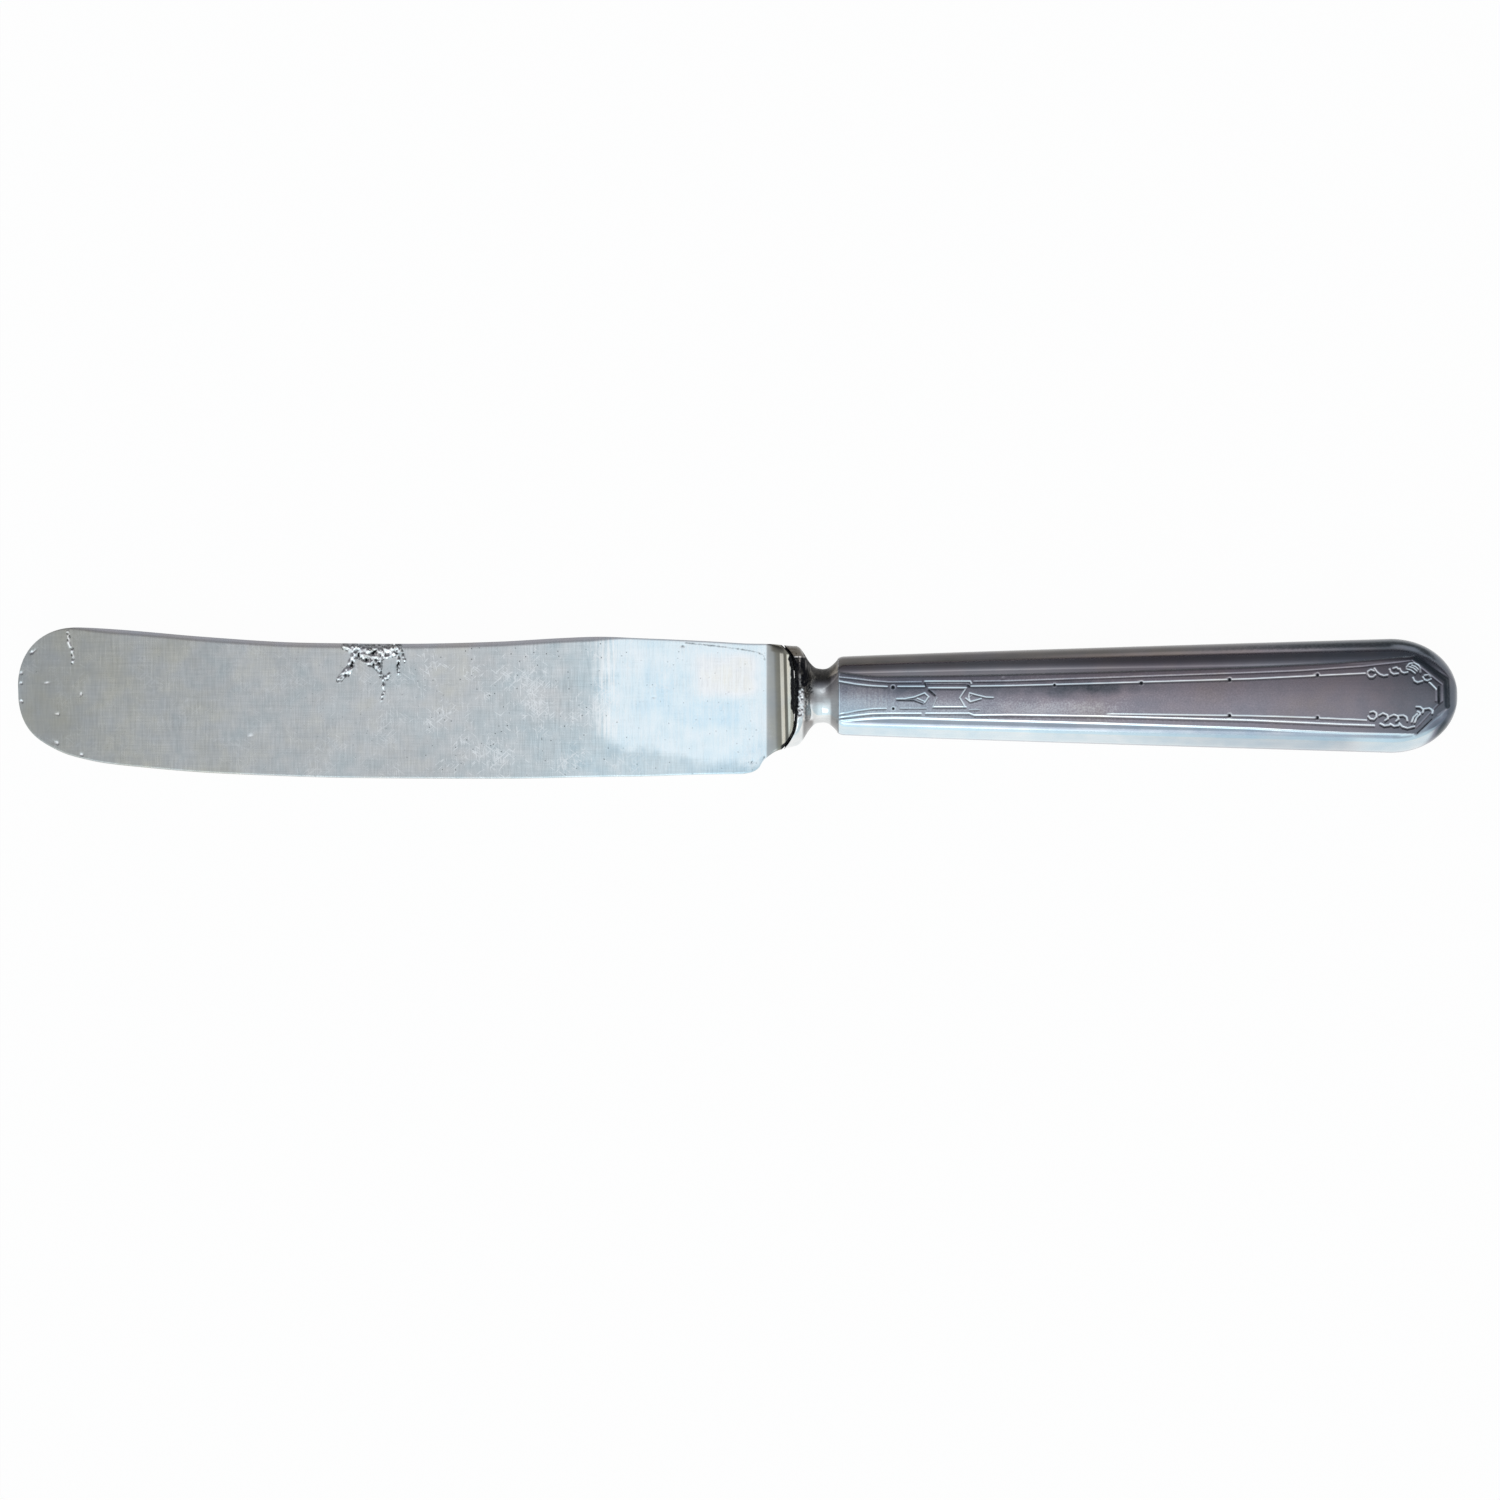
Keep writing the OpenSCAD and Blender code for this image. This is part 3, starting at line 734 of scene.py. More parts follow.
# Finer steps along the blade as (from, to, step): tip, crack, corroded place, heel and cove.
BLADE_ZONES = [
    (TIP_X, TIP_X + 0.6, 0.05), (TIP_X, TIP_X + 2.5, 0.15), (-124.5, -119.8, 0.12),
    (-78.0, -65.8, 0.11), (-36.0, COVE_X, 0.26), (COVE_X, COVE_END_X, 0.07)]


def blade_body():
    """Points, faces and wear of the blade in rings from its tip to the joint."""
    along = stations(TIP_X + 0.01, COVE_END_X, 0.62, BLADE_ZONES)
    across = stations(0, 1, 1 / 80, [(0, 0.02, 0.004), (0.55, 1, 1 / 150)])
    under = stations(0, 1, 1 / 34, [(0, 0.02, 0.005), (0.95, 1, 0.01)])[::-1]
    top, wear = blade_skin(along[:, None], across[None, :], 1)
    low, low_wear = blade_skin(along[:, None], under[None, :], -1)
    count, m, n = len(along), len(across), len(across) + len(under)
    faces = skin_faces(count, n, wrap=True) + [list(range(n))]
    last = (count - 1) * n
    a = [last + j for j in range(m)]
    b = [last + n - 1 - j for j in range(n - m)]
    faces += zip_faces(a, b, across, under[::-1], turned=True)
    points = np.concatenate([top, low], 1).reshape(-1, 3)
    return points, faces, np.concatenate([wear, low_wear], 1).reshape(-1, 3).T


def joint_grime(x, y):
    """The dirty strip along the joint, which is widest in the middle of the blade."""
    joint = x - (BLADE_FACE_X + flange_shift(y))
    ragged = rough_noise(x, y, 0.5, 31)
    dark_w = mix(0.8, 0.24, ease((-y - 1.8) / 1.8)) + 0.12 * ragged
    dark_w = mix(dark_w, 0.3, climb(y, 6.0, 0.9))
    return ease((joint + dark_w) / 0.12) * limit(1.0 - 0.25 * ragged)


def tang_body(first):
    """Points and faces of the tang, from inside the shoulder into the handle."""
    tang = []
    for x, w in ((BLADE_FACE_X - 1.0, TANG_W), (MOUTH_X, TANG_W), (MOUTH_X + TANG_L, TANG_END_W)):
        tang += [(x, side * w / 2, z * BACK_T / 2) for side, z in ((-1, -1), (1, -1), (1, 1), (-1, 1))]
    faces = skin_faces(3, 4, first, wrap=True, turned=True)
    return tang, faces + [[first + j for j in (0, 1, 2, 3)], [first + j for j in (11, 10, 9, 8)]]


def build_blade():
    points, faces, (grime_and_shade, bare_and_highlit, strip) = blade_body()
    x, y, _ = points.T
    marks = blade_marks(x, y)
    marks["grime_and_shade"] = np.maximum.reduce([grime_and_shade, joint_grime(x, y), marks["grime_and_shade"]])
    marks["tarnish_and_shading"] = marks["tarnish_and_shading"] * (1 - strip) * (1 - bare_and_highlit)
    marks["hue"] = marks["hue"] * (1 - np.maximum(strip, bare_and_highlit))
    tang, tang_faces = tang_body(len(points))
    marks = extend_marks(marks, len(tang), tarnish_and_shading=0.6)
    points = np.concatenate([points, tang])
    new_piece("blade_plated", points, faces + tang_faces, "blade", blade_plate, marks)


# Bolster

# Rings of each part of the bolster, and points on each round part of half a ring and on the flat between.
RINGS = {"flange": 20, "neck": 60, "collar": 36}
ROUND_STEPS = 70
FLAT_STEPS = 60
# Boxes in the picture: a painted light and a grey place on the neck, painted shade at its foot, and a
# painted highlight on the upper corner of the rim.
NECK_GLOW = (806, 703, 814, 724)
NECK_GREY = (800, 698, 808, 720)
NECK_FOOT_SHADE = (801, 718, 815, 750)
RIM_CORNER_HIGHLIGHT = (791.5, 656.2, 801.5, 658.2)


def behind_front(x, y):
    """How far a point of the bolster lies behind its bowed front."""
    return x - (LAND_X + flange_shift(y))


def bolster_ring(height, face, part, u):
    """Section points of the bolster at a share u of its flange, its neck or its collar."""
    if part == "flange":
        x = mix(LAND_X + flange_shift(height * FLANGE_Y), LAND_X, u)
        y = mix(edge_y(x), back_y(x), (height + 1) / 2)
        z = np.minimum(FLANGE_Z * oval(height, FLANGE_FLAT), AXIS_Z)
    elif part == "neck":
        x = mix(LAND_X, NECK_X, u) + 0 * height
        y = mix(FLANGE_Y, NECK_H / 2, smooth_at(FLANGE_SIDE_SHARES, u)) * height
        depth = mix(FLANGE_Z, NECK_T / 2, smooth_at(FLANGE_TOP_SHARES, u))
        z = np.minimum(depth * oval(height, mix(FLANGE_FLAT, NECK_FLAT, u)), AXIS_Z)
    else:
        rise = smooth_at(COLLAR_SHARES, u)
        x = mix(NECK_X, COLLAR_X, u) + 0 * height
        y = mix(NECK_H / 2, MOUTH_W / 2 - LIP_DROP - COLLAR_STEP, rise) * height
        depth = mix(NECK_T / 2, MOUTH_T / 2 - LIP_DROP - COLLAR_STEP, rise) - FACE_CROWN * u
        flat = mix(NECK_FLAT, FACE_FLAT, u)
        crown = FACE_CROWN * u * (1 - limit(np.abs(height) / flat) ** 2)
        z = (depth * oval(height, flat) + crown) * (np.abs(height) < 1)
    return np.stack([x, y, face * z], -1)


def bolster_section():
    """Heights from -1 to 1 round a section of the bolster, and the face that each is on."""
    turn = np.linspace(0, math.pi / 2, ROUND_STEPS + 1)
    bend = 1 - FLANGE_FLAT
    middle = np.linspace(FLANGE_FLAT, -FLANGE_FLAT, FLAT_STEPS, endpoint=False)
    half = np.concatenate([
        FLANGE_FLAT + bend * np.cos(turn[:-1]), middle, -FLANGE_FLAT - bend * np.sin(turn)])
    return np.concatenate([half, half[-2:0:-1]]), np.array([1.0] * len(half) + [-1.0] * (len(half) - 2))


def worn_rim(x, y, z):
    """Heights of the bolster with the pits and bumps of its worn rim, deepest at the front arris."""
    rim = (1 - climb(x, 0.2, 1.5)) * ease((y + 5.0) / 2.2)
    coarse = rough_noise(x * 1.3, y, 0.45, 41)
    worn = rim * (0.13 * coarse - 0.03) - 0.2 * bump(behind_front(x, y), 0.3)
    scale = 1 + worn / np.maximum(np.abs(z), 1.2)
    return np.clip(z * np.clip(scale, 0.7, 1.12), -AXIS_Z, AXIS_Z)


def bolster_inside(outer, heights, face):
    """Rings of the spigot and, from its end forwards, of the slot for the tang."""
    spigot_y = MOUTH_W / 2 - WALL_T - FIT
    spigot_z = MOUTH_T / 2 - WALL_T - FIT
    spigot = np.stack([0 * heights, spigot_y * heights, face * spigot_z * oval(heights, FACE_FLAT)], -1)
    turn = np.arctan2(outer[0, :, 2], outer[0, :, 1])
    slot_y, slot_z = TANG_W / 2 + FIT, BACK_T / 2 + FIT
    reach = 1 / np.maximum(np.abs(np.cos(turn)) / slot_y, np.abs(np.sin(turn)) / slot_z)
    slot = np.stack([0 * turn, reach * np.cos(turn), reach * np.sin(turn)], -1)
    front_slot = slot.copy()
    front_slot[:, 0] = LAND_X + flange_shift(slot[:, 1])
    end = (MOUTH_X + SPIGOT_L, 0, 0)
    return np.stack([spigot + (COLLAR_X, 0, 0), spigot + end, slot + end, front_slot])


def bolster_marks(x, y, z, steep):
    """Tarnish, grime and hue of the bolster, with painted light and shade, whose upper sides are steep."""
    px, py = on_picture(x, y)
    fine = rough_noise(x, y + z, 0.34, 51)
    on_flange = 1 - climb(px, 802, 3)
    lit_arris = bump(px - 799.6, 1.8)
    # painted shade makes the steep upper sides of the neck and the collar nearly black
    shaded_sides = steep * climb(px, 803, 4)
    side_shade = mix(0.3, 0.5, climb(px, 832, -6)) + 0.2 * climb(px, 814, -6)
    # the upper rim is nearly black, with a painted highlight in lighter specks along its arris
    black = 1 - ease((px - mix(797.2, 806, climb(py, 692, -7)) + 1.6 * fine) / 2.4)
    black = black * climb(py, 657.2, 1.2) * climb(py, 718, -5)
    # specks of dirt where the neck leaves the flange
    specks = climb(px, 818, -10) * climb(px, 801, 3) * climb(py, 703, -14)
    grime_and_shade = np.maximum.reduce([
        black * limit(0.93 - 0.7 * limit(fine + 0.15) - lit_arris * limit(0.75 + 1.2 * fine)),
        ease((0.16 - behind_front(x, y)) / 0.1) * climb(px, 778, 2),
        0.35 * on_flange * limit(-0.3 - 2 * fine) * climb(py, 722, -5),
        specks * limit(0.25 + 1.5 * rough_noise(x, y + z, 0.22, 52)),
        side_shade * shaded_sides**2])
    # painted shade darkens the neck above, and these tones lie over it one after the other
    tarnish_and_shading = mix(0.2, 0.97, ease((707 - py) / mix(14, 20, climb(px, 806, 9))))
    layers = [
        # a painted glow round the neck's highlight, then the neck's painted light and a grey place
        (0.1, spot(px, py, 820, 689, 15, 15)),
        (0.0, patch(px, py, NECK_GLOW, 3)),
        (0.5, patch(px, py, NECK_GREY, 2.5)),
        # a painted highlight on the arris, painted light on the lower flange, painted shade on the flange's
        # top facet and a painted highlight on the rim's corner
        (0.6, 0.7 * lit_arris * climb(py, 690, -6) * climb(py, 658, 2)),
        (0.1, on_flange * climb(py, 686, 6)),
        (0.95, on_flange * climb(py, 657.4, -1.2)),
        (0.0, patch(px, py, RIM_CORNER_HIGHLIGHT, 0.9)),
        (0.55, climb(px, 829, 3)),
        # painted shade at the neck's foot and on its steep sides
        (0.72, 0.9 * patch(px, py, NECK_FOOT_SHADE, 4)),
        (1.0, shaded_sides)]
    for tone, share in layers:
        tarnish_and_shading = mix(tarnish_and_shading, tone, share)
    # two painted highlights on the neck
    tarnish_and_shading -= 0.25 * spot(x, y, 3.7, -2.7, 1.92, 1.8) + 0.75 * spot(x, y, 3.8, 0.9, 0.6, 0.6)
    hue = mix(0.35, -0.7, climb(py, 658, -4)) - 0.8 * climb(px, 829, 3) * climb(py, 690, -20)
    return {"tarnish_and_shading": np.maximum(tarnish_and_shading, 0), "grime_and_shade": grime_and_shade, "hue": hue}


def build_bolster():
    heights, face = bolster_section()
    sequence = [("flange", 0.0)]
    for part, count in RINGS.items():
        sequence += [(part, u) for u in np.linspace(0, 1, count)[1:]]
    outer = np.array([bolster_ring(heights, face, part, u) for part, u in sequence])
    steep = ease((grid_normals(outer)[..., 1] - 0.3) / 0.3)
    outer[..., 2] = worn_rim(outer[..., 0], outer[..., 1], outer[..., 2])
    rings = np.concatenate([outer, bolster_inside(outer, heights, face)])
    points = rings.reshape(-1, 3)
    count, n = rings.shape[:2]
    last = (count - 1) * n
    faces = skin_faces(count, n, wrap=True)
    faces += [(last + j, j, (j + 1) % n, last + (j + 1) % n) for j in range(n)]
    marks = bolster_marks(*points.T, np.append(steep, np.zeros(len(points) - steep.size)))
    new_piece("bolster_plated", points, faces, "bolster", bolster_plate, marks)


# Handle

def handle_swell(x):
    return limit((x - MOUTH_X) / (HANDLE_L - BUTT_ROUND_L)) ** SWELL_POWER


def handle_size(x, depth):
    """Half width, half thickness and crown of the handle at x, drawn in by a depth."""
    w_round = rounding(1 - (BUTT_X - x) / BUTT_ROUND_L, BUTT_SIDE_POWER)
    t_round = rounding(1 - (BUTT_X - x) / BUTT_DROP_L, BUTT_TOP_POWER)
    w = (mix(MOUTH_W, BUTT_W, handle_swell(x)) / 2 - depth) * w_round
    t = (mix(MOUTH_T, BUTT_T, handle_swell(x)) / 2 - depth) * t_round
    return w, t, FACE_CROWN * t_round


# Raised panel of the handle's face: its outline in picture points, open at the mouth.
PANEL_UPPER = [
    (820, 668), (840, 672.6), (862, 675.8), (877, 676.8), (905, 676.6), (938, 676.4), (970, 675.8),
    (1010, 674.9), (1100, 672.6), (1250, 667.6), (1340, 663.2), (1414.7, 656.3)]
PANEL_BUTT = [(1414.7, 656.3), (1447.3, 680), (1448.4, 708), (1416.2, 734.8)]
PANEL_LOWER = [
    (1416.2, 734.8), (1342, 733), (1300, 731), (1250, 728.3), (1100, 723.4), (1010, 720.9), (970, 720),
    (938, 719), (916, 718.3), (894, 717.9), (872, 718.6), (856, 719.7), (840, 721.4), (820, 725)]
# Engraved lines as (points, half width in millimetres, depth in millimetres).
LINES = [
    ([(836, 681.2), (840, 681.8), (856, 684.5), (872, 686.2), (887, 686.8)], 0.22, 0.06),
    ([(898, 686.7), (924.6, 686.7)], 0.22, 0.06),
    ([(971, 686.5), (1010, 686), (1100, 683.6), (1250, 679.2), (1365, 673.6)], 0.22, 0.06),
    ([(836, 715), (840, 714.2), (856, 710.9), (872, 708.9), (886, 708.6)], 0.19, 0.05),
    ([(1108, 714.2), (1250, 716), (1300, 717.4), (1366, 720.2)], 0.22, 0.06),
    ([(836, 718.6), (840, 718), (856, 715.7), (872, 714), (889, 713.7), (921, 713.7)], 0.22, 0.06),
    ([(974.5, 715.6), (1010, 715.2), (1100, 716.6), (1250, 720.6), (1342, 724.6), (1374, 725.6)],
     0.26, 0.078),
    ([(925, 681.6), (970.2, 681.5), (971.2, 684)], 0.22, 0.07),
    ([(929, 688.2), (965.8, 688.2)], 0.25, 0.072),
    ([(933, 707.2), (966, 707.2)], 0.22, 0.072),
    ([(965.4, 689.5), (959.8, 698), (965, 706.8)], 0.18, 0.06),
    ([(925.5, 713.6), (969.3, 713.6), (974.5, 715.6)], 0.22, 0.06),
    ([(896.6, 699), (905, 698.9), (914, 697.3), (924.6, 693.2), (928.6, 697), (924.6, 702.8)], 0.2, 0.06),
    ([(917.5, 698.6), (924.5, 701.6)], 0.16, 0.045),
    ([(969.5, 693.2), (976, 695), (986, 697.4), (993, 697.6)], 0.2, 0.06),
    ([(965.8, 698.4), (970.2, 702), (981, 698.9)], 0.2, 0.06),
    ([(969.5, 693.2), (968.6, 697), (970.2, 702)], 0.16, 0.05),
    ([(1429.5, 682.8), (1436, 689.2)], 0.26, 0.072),
]
# Lines that stay dull, in the same form.
FAINT_LINES = [
    ([(836, 677), (840, 677.6), (856, 679.2), (872, 681.2), (889, 682.4), (921, 682.2)], 0.2, 0.05),
    ([(974, 681.6), (1010, 681.2), (1100, 678.2), (1250, 673), (1300, 671), (1363, 666.6), (1410, 661.2)],
     0.2, 0.05),
    ([(900, 708.5), (926.4, 708.5)], 0.18, 0.05),
    ([(969.3, 710), (979, 709.8)], 0.22, 0.05),
    ([(925.4, 683.6), (968, 683.6)], 0.15, 0.03),
    ([(936.8, 697.8), (933, 706.4)], 0.17, 0.05),
    ([(969.6, 697.6), (971.6, 695.6)], 0.15, 0.04),
    ([(1412, 661), (1442, 684.6), (1442, 701), (1435.6, 706.8), (1416.5, 727.4)], 0.24, 0.07),
    ([(1436, 689.2), (1436, 701)], 0.25, 0.07),
    ([(1448, 708), (1438, 715)], 0.2, 0.03),
]
# Lines full of dirt, in the same form.
DARK_LINES = [
    ([(924.8, 682.8), (925.8, 686)], 0.2, 0.06),
    ([(929, 690), (934.8, 695)], 0.27, 0.07),
    ([(897, 700.2), (914, 700.6), (923, 704)], 0.17, 0.04),
    ([(967.8, 685.2), (969.4, 686.2)], 0.27, 0.07),
    ([(1438.8, 687), (1438.8, 703)], 0.4, 0.05),
    ([(1432, 719), (1417.3, 733.2)], 0.2, 0.05),
]
# Scrolls of the upper row, the shell at the upper corner and the scrolls of the lower row.
SCROLLS = [
    [(1374.4, 671.2), (1371, 669.9), (1368, 671.6), (1367.4, 674.6), (1369.6, 677.2), (1373, 677.2),
     (1375.4, 675)],
    [(1374.4, 668.7), (1376.6, 672), (1379.8, 674.6), (1383.6, 675.9), (1387.4, 675.2)],
    [(1389.6, 669.5), (1390.4, 672.4), (1393.6, 674.4), (1398, 673.7)],
    [(1393.2, 668.6), (1396.4, 667.6), (1398.2, 669.4)],
    [(1399.6, 669), (1401, 671.8), (1404, 673.2), (1407.6, 672.3)],
    [(1413, 678), (1414.2, 681), (1417.6, 682.6), (1422.4, 681.2)],
    [(1423, 677.3), (1424.4, 680), (1427.4, 681), (1430.9, 679.2)],
    [(1424.6, 675.6), (1428.4, 674.9), (1430.6, 677)],
    [(1406.6, 667.6), (1409.4, 663.9), (1414, 663.2), (1418.4, 665.4), (1420.4, 669), (1420.3, 672.4)],
    [(1406.6, 669.2), (1411, 670.4), (1415, 673.4)],
    [(1408.6, 666.8), (1413.2, 668.2), (1417, 671.4)],
    [(1411.8, 665.6), (1415.4, 666.9), (1418.2, 669.8)],
    [(1370.2, 712.2), (1373.4, 711.4), (1376.4, 713.4), (1376.4, 716.8), (1373.8, 719.4), (1370.4, 719),
     (1368.2, 716.4)],
    [(1379, 715.4), (1382.8, 713.3), (1387.4, 715.2), (1388, 718.4), (1385, 720.4)],
    [(1389.7, 716.5), (1393.6, 714.8), (1397.6, 716), (1398.6, 719), (1396, 721)],
    [(1399, 715.6), (1403.4, 715.4), (1406.6, 717.4), (1407.3, 720.6)],
    [(1399.3, 723.4), (1402.4, 726.8), (1407.4, 728.2), (1414.2, 726.5)],
    [(1380, 723.6), (1384.4, 725.8), (1389.6, 725)],
    [(1390, 723.8), (1394, 726.2), (1398.6, 725.4)],
    [(1411.6, 722), (1413.4, 717.4), (1417, 714)],
    [(1414.6, 722.4), (1416.4, 718), (1419.8, 714.4)],
    [(1416.3, 706.8), (1420.3, 707.1), (1423.4, 709.8), (1422.6, 712.6)],
    [(1424, 709), (1428.8, 708.3), (1432.8, 710.4), (1432.2, 713.4)],
    [(1417.6, 711.6), (1420, 713)],
]
# Half width and depth of the scrolls' cuts, in millimetres.
SCROLL_HALF_W = 0.25
SCROLL_CUT = 0.08
# Dots in the lines as (place in the picture, radius in millimetres).
BEADS = [
    (893, 687.2, 0.42), (893.3, 708.5, 0.32), (1317.4, 675, 0.42), (1317.4, 717.6, 0.4), (1054.6, 685, 0.32),
    (1141.4, 683, 0.42), (1229.6, 679.7, 0.42), (1229.6, 715.6, 0.42)]
# A small dent in the panel.
PANEL_DENT = (1003, 678.5)
# How far the panel's rim steps down, in millimetres, and where its end at the butt begins in the picture.
PANEL_STEP = 0.13
PANEL_END_PX = 1413


def panel_inside(x, y):
    """Signed distance into the raised panel, from straight pieces of its outline."""
    upper = np.interp(x, *np.array(picture(PANEL_UPPER)).T) - y
    lower = y - np.interp(x, *np.array(picture(PANEL_LOWER[::-1])).T)
    best = np.minimum(upper, lower)
    ends = picture(PANEL_BUTT)
    for (ax, ay), (bx, by) in zip(ends, ends[1:]):
        dx, dy = bx - ax, by - ay
        best = np.minimum(best, ((x - ax) * dy - (y - ay) * dx) / math.hypot(dx, dy))
    return best


def groove_at(x, y, line):
    """A line's groove from 0 to 1 and its cut in millimetres."""
    path, half_width, cut = line
    groove = bump(path_distance(x, y, path), half_width)
    return groove, cut * groove


def handle_relief(x, y):
    """How deep the ornament lies below the plain face, how clean its cuts are and where dirt and painted
    shade lie.
    """
    inside = panel_inside(x, y)
    px, _ = on_picture(x, y)
    clean = limit(2.2 * bump(inside, 0.25)) * mix(1.0, 0.25, ease((px - PANEL_END_PX) * PX / 0.6))
    clean = clean * np.where(y > 0, 0.4, 1.0)
    # painted shade just inside the panel's upper rim
    dark = 0.5 * bump(inside + 0.08, 0.22) * (y > 0)
    cuts = 0 * inside
    kinds = [(line, 1.0, 0.42) for line in LINES] + [(line, 0.35, 0.3) for line in FAINT_LINES]
    kinds += [((path, SCROLL_HALF_W, SCROLL_CUT), 0.85, 0.85) for path in SCROLLS]
    for line, shine, shade in kinds:
        groove, cut = groove_at(x, y, line)
        # a painted shadow under each cut
        below = bump(path_distance(x, y + 1.2 * line[1], line[0]), 1.1 * line[1])
        cuts = np.maximum(cuts, cut)
        clean = np.maximum(clean, shine * limit(2.2 * groove))
        dark = np.maximum(dark, shade * below)
    dark = dark * (1 - clean)
    for line in DARK_LINES:
        groove, cut = groove_at(x, y, line)
        cuts = np.maximum(cuts, cut)
        clean = clean * (1 - limit(2 * groove))
        dark = np.maximum(dark, 0.85 * groove)
    for px, py, radius in BEADS:
        away = path_distance(x, y, [(px, py)])
        dot = limit(1.8 * bump(away, radius))
        cuts = cuts + 0.1 * bump(away, radius)
        clean = np.maximum(clean, 0.6 * bump(away - radius, 0.2)) * (1 - dot)
        dark = np.maximum(dark, 0.95 * dot)
    cuts = cuts + 0.03 * bump(path_distance(x, y, [PANEL_DENT]), 0.5)
    return cuts + PANEL_STEP * ease(0.5 - inside / 0.34), clean, dark


# Tarnish and hue of the panel by the picture's x.
PANEL_TARNISH = [(840, 0.39), (900, 0.46), (1150, 0.53), (1350, 0.62), (1400, 0.76), (1440, 0.82)]
PANEL_HUE = [(840, 1.2), (900, 1.1), (960, 0.8), (1020, 0.25), (1150, 0.0), (1350, 0.0), (1440, 0.9)]
# Tarnish of the band between the panel and the handle's upper side, and tarnish with painted shade of that
# dark side next to it.
UPPER_TARNISH = [(840, 0.34), (900, 0.27), (1000, 0.26), (1150, 0.45), (1300, 0.4)]
UPPER_SIDE_TARNISH_AND_SHADE = [
    (840, 0.96), (900, 0.94), (1000, 0.93), (1150, 0.68), (1300, 0.62), (1340, 0.7), (1380, 0.86)]
# A painted highlight high on the butt, and the painted shade of the facet round the panel's end.
BUTT_GLINT = [(1392, 645.8), (1402, 647), (1413, 649), (1424, 652.5)]
BUTT_FACET = [(1416, 658), (1446.5, 680), (1447.5, 706)]
# A place on the panel at the mouth with light streaks.
MOUTH_STREAKS = (836, 678, 900, 718)
# Stained places on the panel as (middle and half sizes in the picture, change of tarnish and of hue).
PANEL_STAINS = [
    (905, 688, 40, 10, 0.2, 0.2), (985, 690, 40, 11, 0.14, 0.2), (1060, 689, 75, 12, 0.26, 0.6),
    (1112, 687, 62, 9, 0.18, 0.5), (1060, 709, 90, 12, -0.12, -0.1), (1387, 697, 26, 26, 0.0, -0.3)]


def stain_at(px, py, middle_x, middle_y, half_w, half_h):
    """1 in the middle of a stain, fading unevenly to its rim."""
    away = np.hypot((px - middle_x) / half_w, (py - middle_y) / half_h)
    return bump(np.maximum(away + 0.25 * rough_noise(px, py, 9.0, 61), 0), 1.0)


def side_tones_and_shade(px, y, nz, far):
    """Tarnish and hue of the handle beside its panel, by how steep it is there, with painted shade on the
    upper side and clean, bluish metal on the lower side.
    """
    low_side = climb(nz, 0.9, -0.05)
    upper_side = mix(read_table(UPPER_SIDE_TARNISH_AND_SHADE, px), 0.91 + 0.08 * far, climb(nz, 0.7, -0.12))
    upper = mix(read_table(UPPER_TARNISH, px), upper_side, climb(nz, 0.82, -0.04))
    duller = 0.2 * climb(px, 1000, 300) - 0.12 * climb(px, 1340, 30)
    lower = mix(0.43, 0.05 + duller, low_side) + 0.35 * climb(nz, 0.25, -0.1)
    upper_hue = mix(mix(-0.8, 0.1, climb(nz, 0.78, 0.04)), 1.3, far)
    return np.where(y > 0, upper, lower), np.where(y > 0, upper_hue, mix(1.15, 1.1, low_side))


def panel_tones(px, py):
    """Tarnish and hue of the panel with its stains, and painted shade that makes it darker above than below
    near the mouth.
    """
    shade_slope = 0.14 * (0.5 - climb(py, 688, 20)) * (1 - climb(px, 940, 80))
    tarnish_and_shading = read_table(PANEL_TARNISH, px) + shade_slope
    hue = read_table(PANEL_HUE, px)
    for *stain, tarnished, tinted in PANEL_STAINS:
        share = stain_at(px, py, *stain)
        tarnish_and_shading = tarnish_and_shading + tarnished * share
        hue = hue + tinted * share
    return tarnish_and_shading, hue


def handle_marks(x, y, normals, clean, dark):
    """Tarnish, hue, streaks, dust, grime and painted shade of the handle, by the way its plain surface
    faces.
    """
    px, py = on_picture(x, y)
    nz = normals[..., 2]
    far = climb(px, 1150, 250)
    tarnish_and_shading, hue = side_tones_and_shade(px, y, nz, far)
    # the butt's end gets painted shade by the way it faces, and so does the upper side below
    butt_end_shade = ease((normals[..., 0] - 0.3) / 0.3)
    tarnish_and_shading = mix(tarnish_and_shading, 0.84, butt_end_shade)
    hue = mix(hue, 1.35, butt_end_shade)
    shade = (0.1 + 0.42 * far) * climb(px, 900, 200) * climb(nz, 0.72, -0.06) * climb(nz, 0.3, 0.2)
    dark = np.maximum(dark, shade * (y > 0) * (1 - butt_end_shade))
    glint = bump(path_distance(x, y, BUTT_GLINT), 0.5) * climb(px, 1386, 18) * climb(px, 1425, -14)
    tarnish_and_shading = mix(tarnish_and_shading, 0.72, glint)
    dark = dark * (1 - limit(1.5 * glint))
    panel = ease(0.5 + panel_inside(x, y) / 0.4)
    panel_tarnish, panel_hue = panel_tones(px, py)
    tarnish_and_shading = mix(tarnish_and_shading, panel_tarnish, panel)
    hue = mix(hue, panel_hue, panel)
    # the lower corner of the butt is dull
    tarnish_and_shading = tarnish_and_shading + 0.3 * spot(px, py, 1440, 728, 16, 13) * (1 - panel)
    shaded_facet = limit(2 * bump(path_distance(x, y, BUTT_FACET), 0.66))
    lip = 0.6 * bump(x - MOUTH_X - 0.12, 0.2) * (nz > 0.9)
    clean = np.maximum(clean * (1 - shaded_facet), lip)
    return {
        "tarnish_and_shading": mix(mix(tarnish_and_shading, 0.05, clean), 0.97, shaded_facet), "hue": mix(hue, 1.4, shaded_facet),
        "streak": 0.12 * patch(px, py, MOUTH_STREAKS, 16) * (1 - clean),
        "dust": mix(0.3, 0.12, far) * panel * (1 - clean), "grime_and_shade": np.maximum(dark, 0.5 * shaded_facet)}


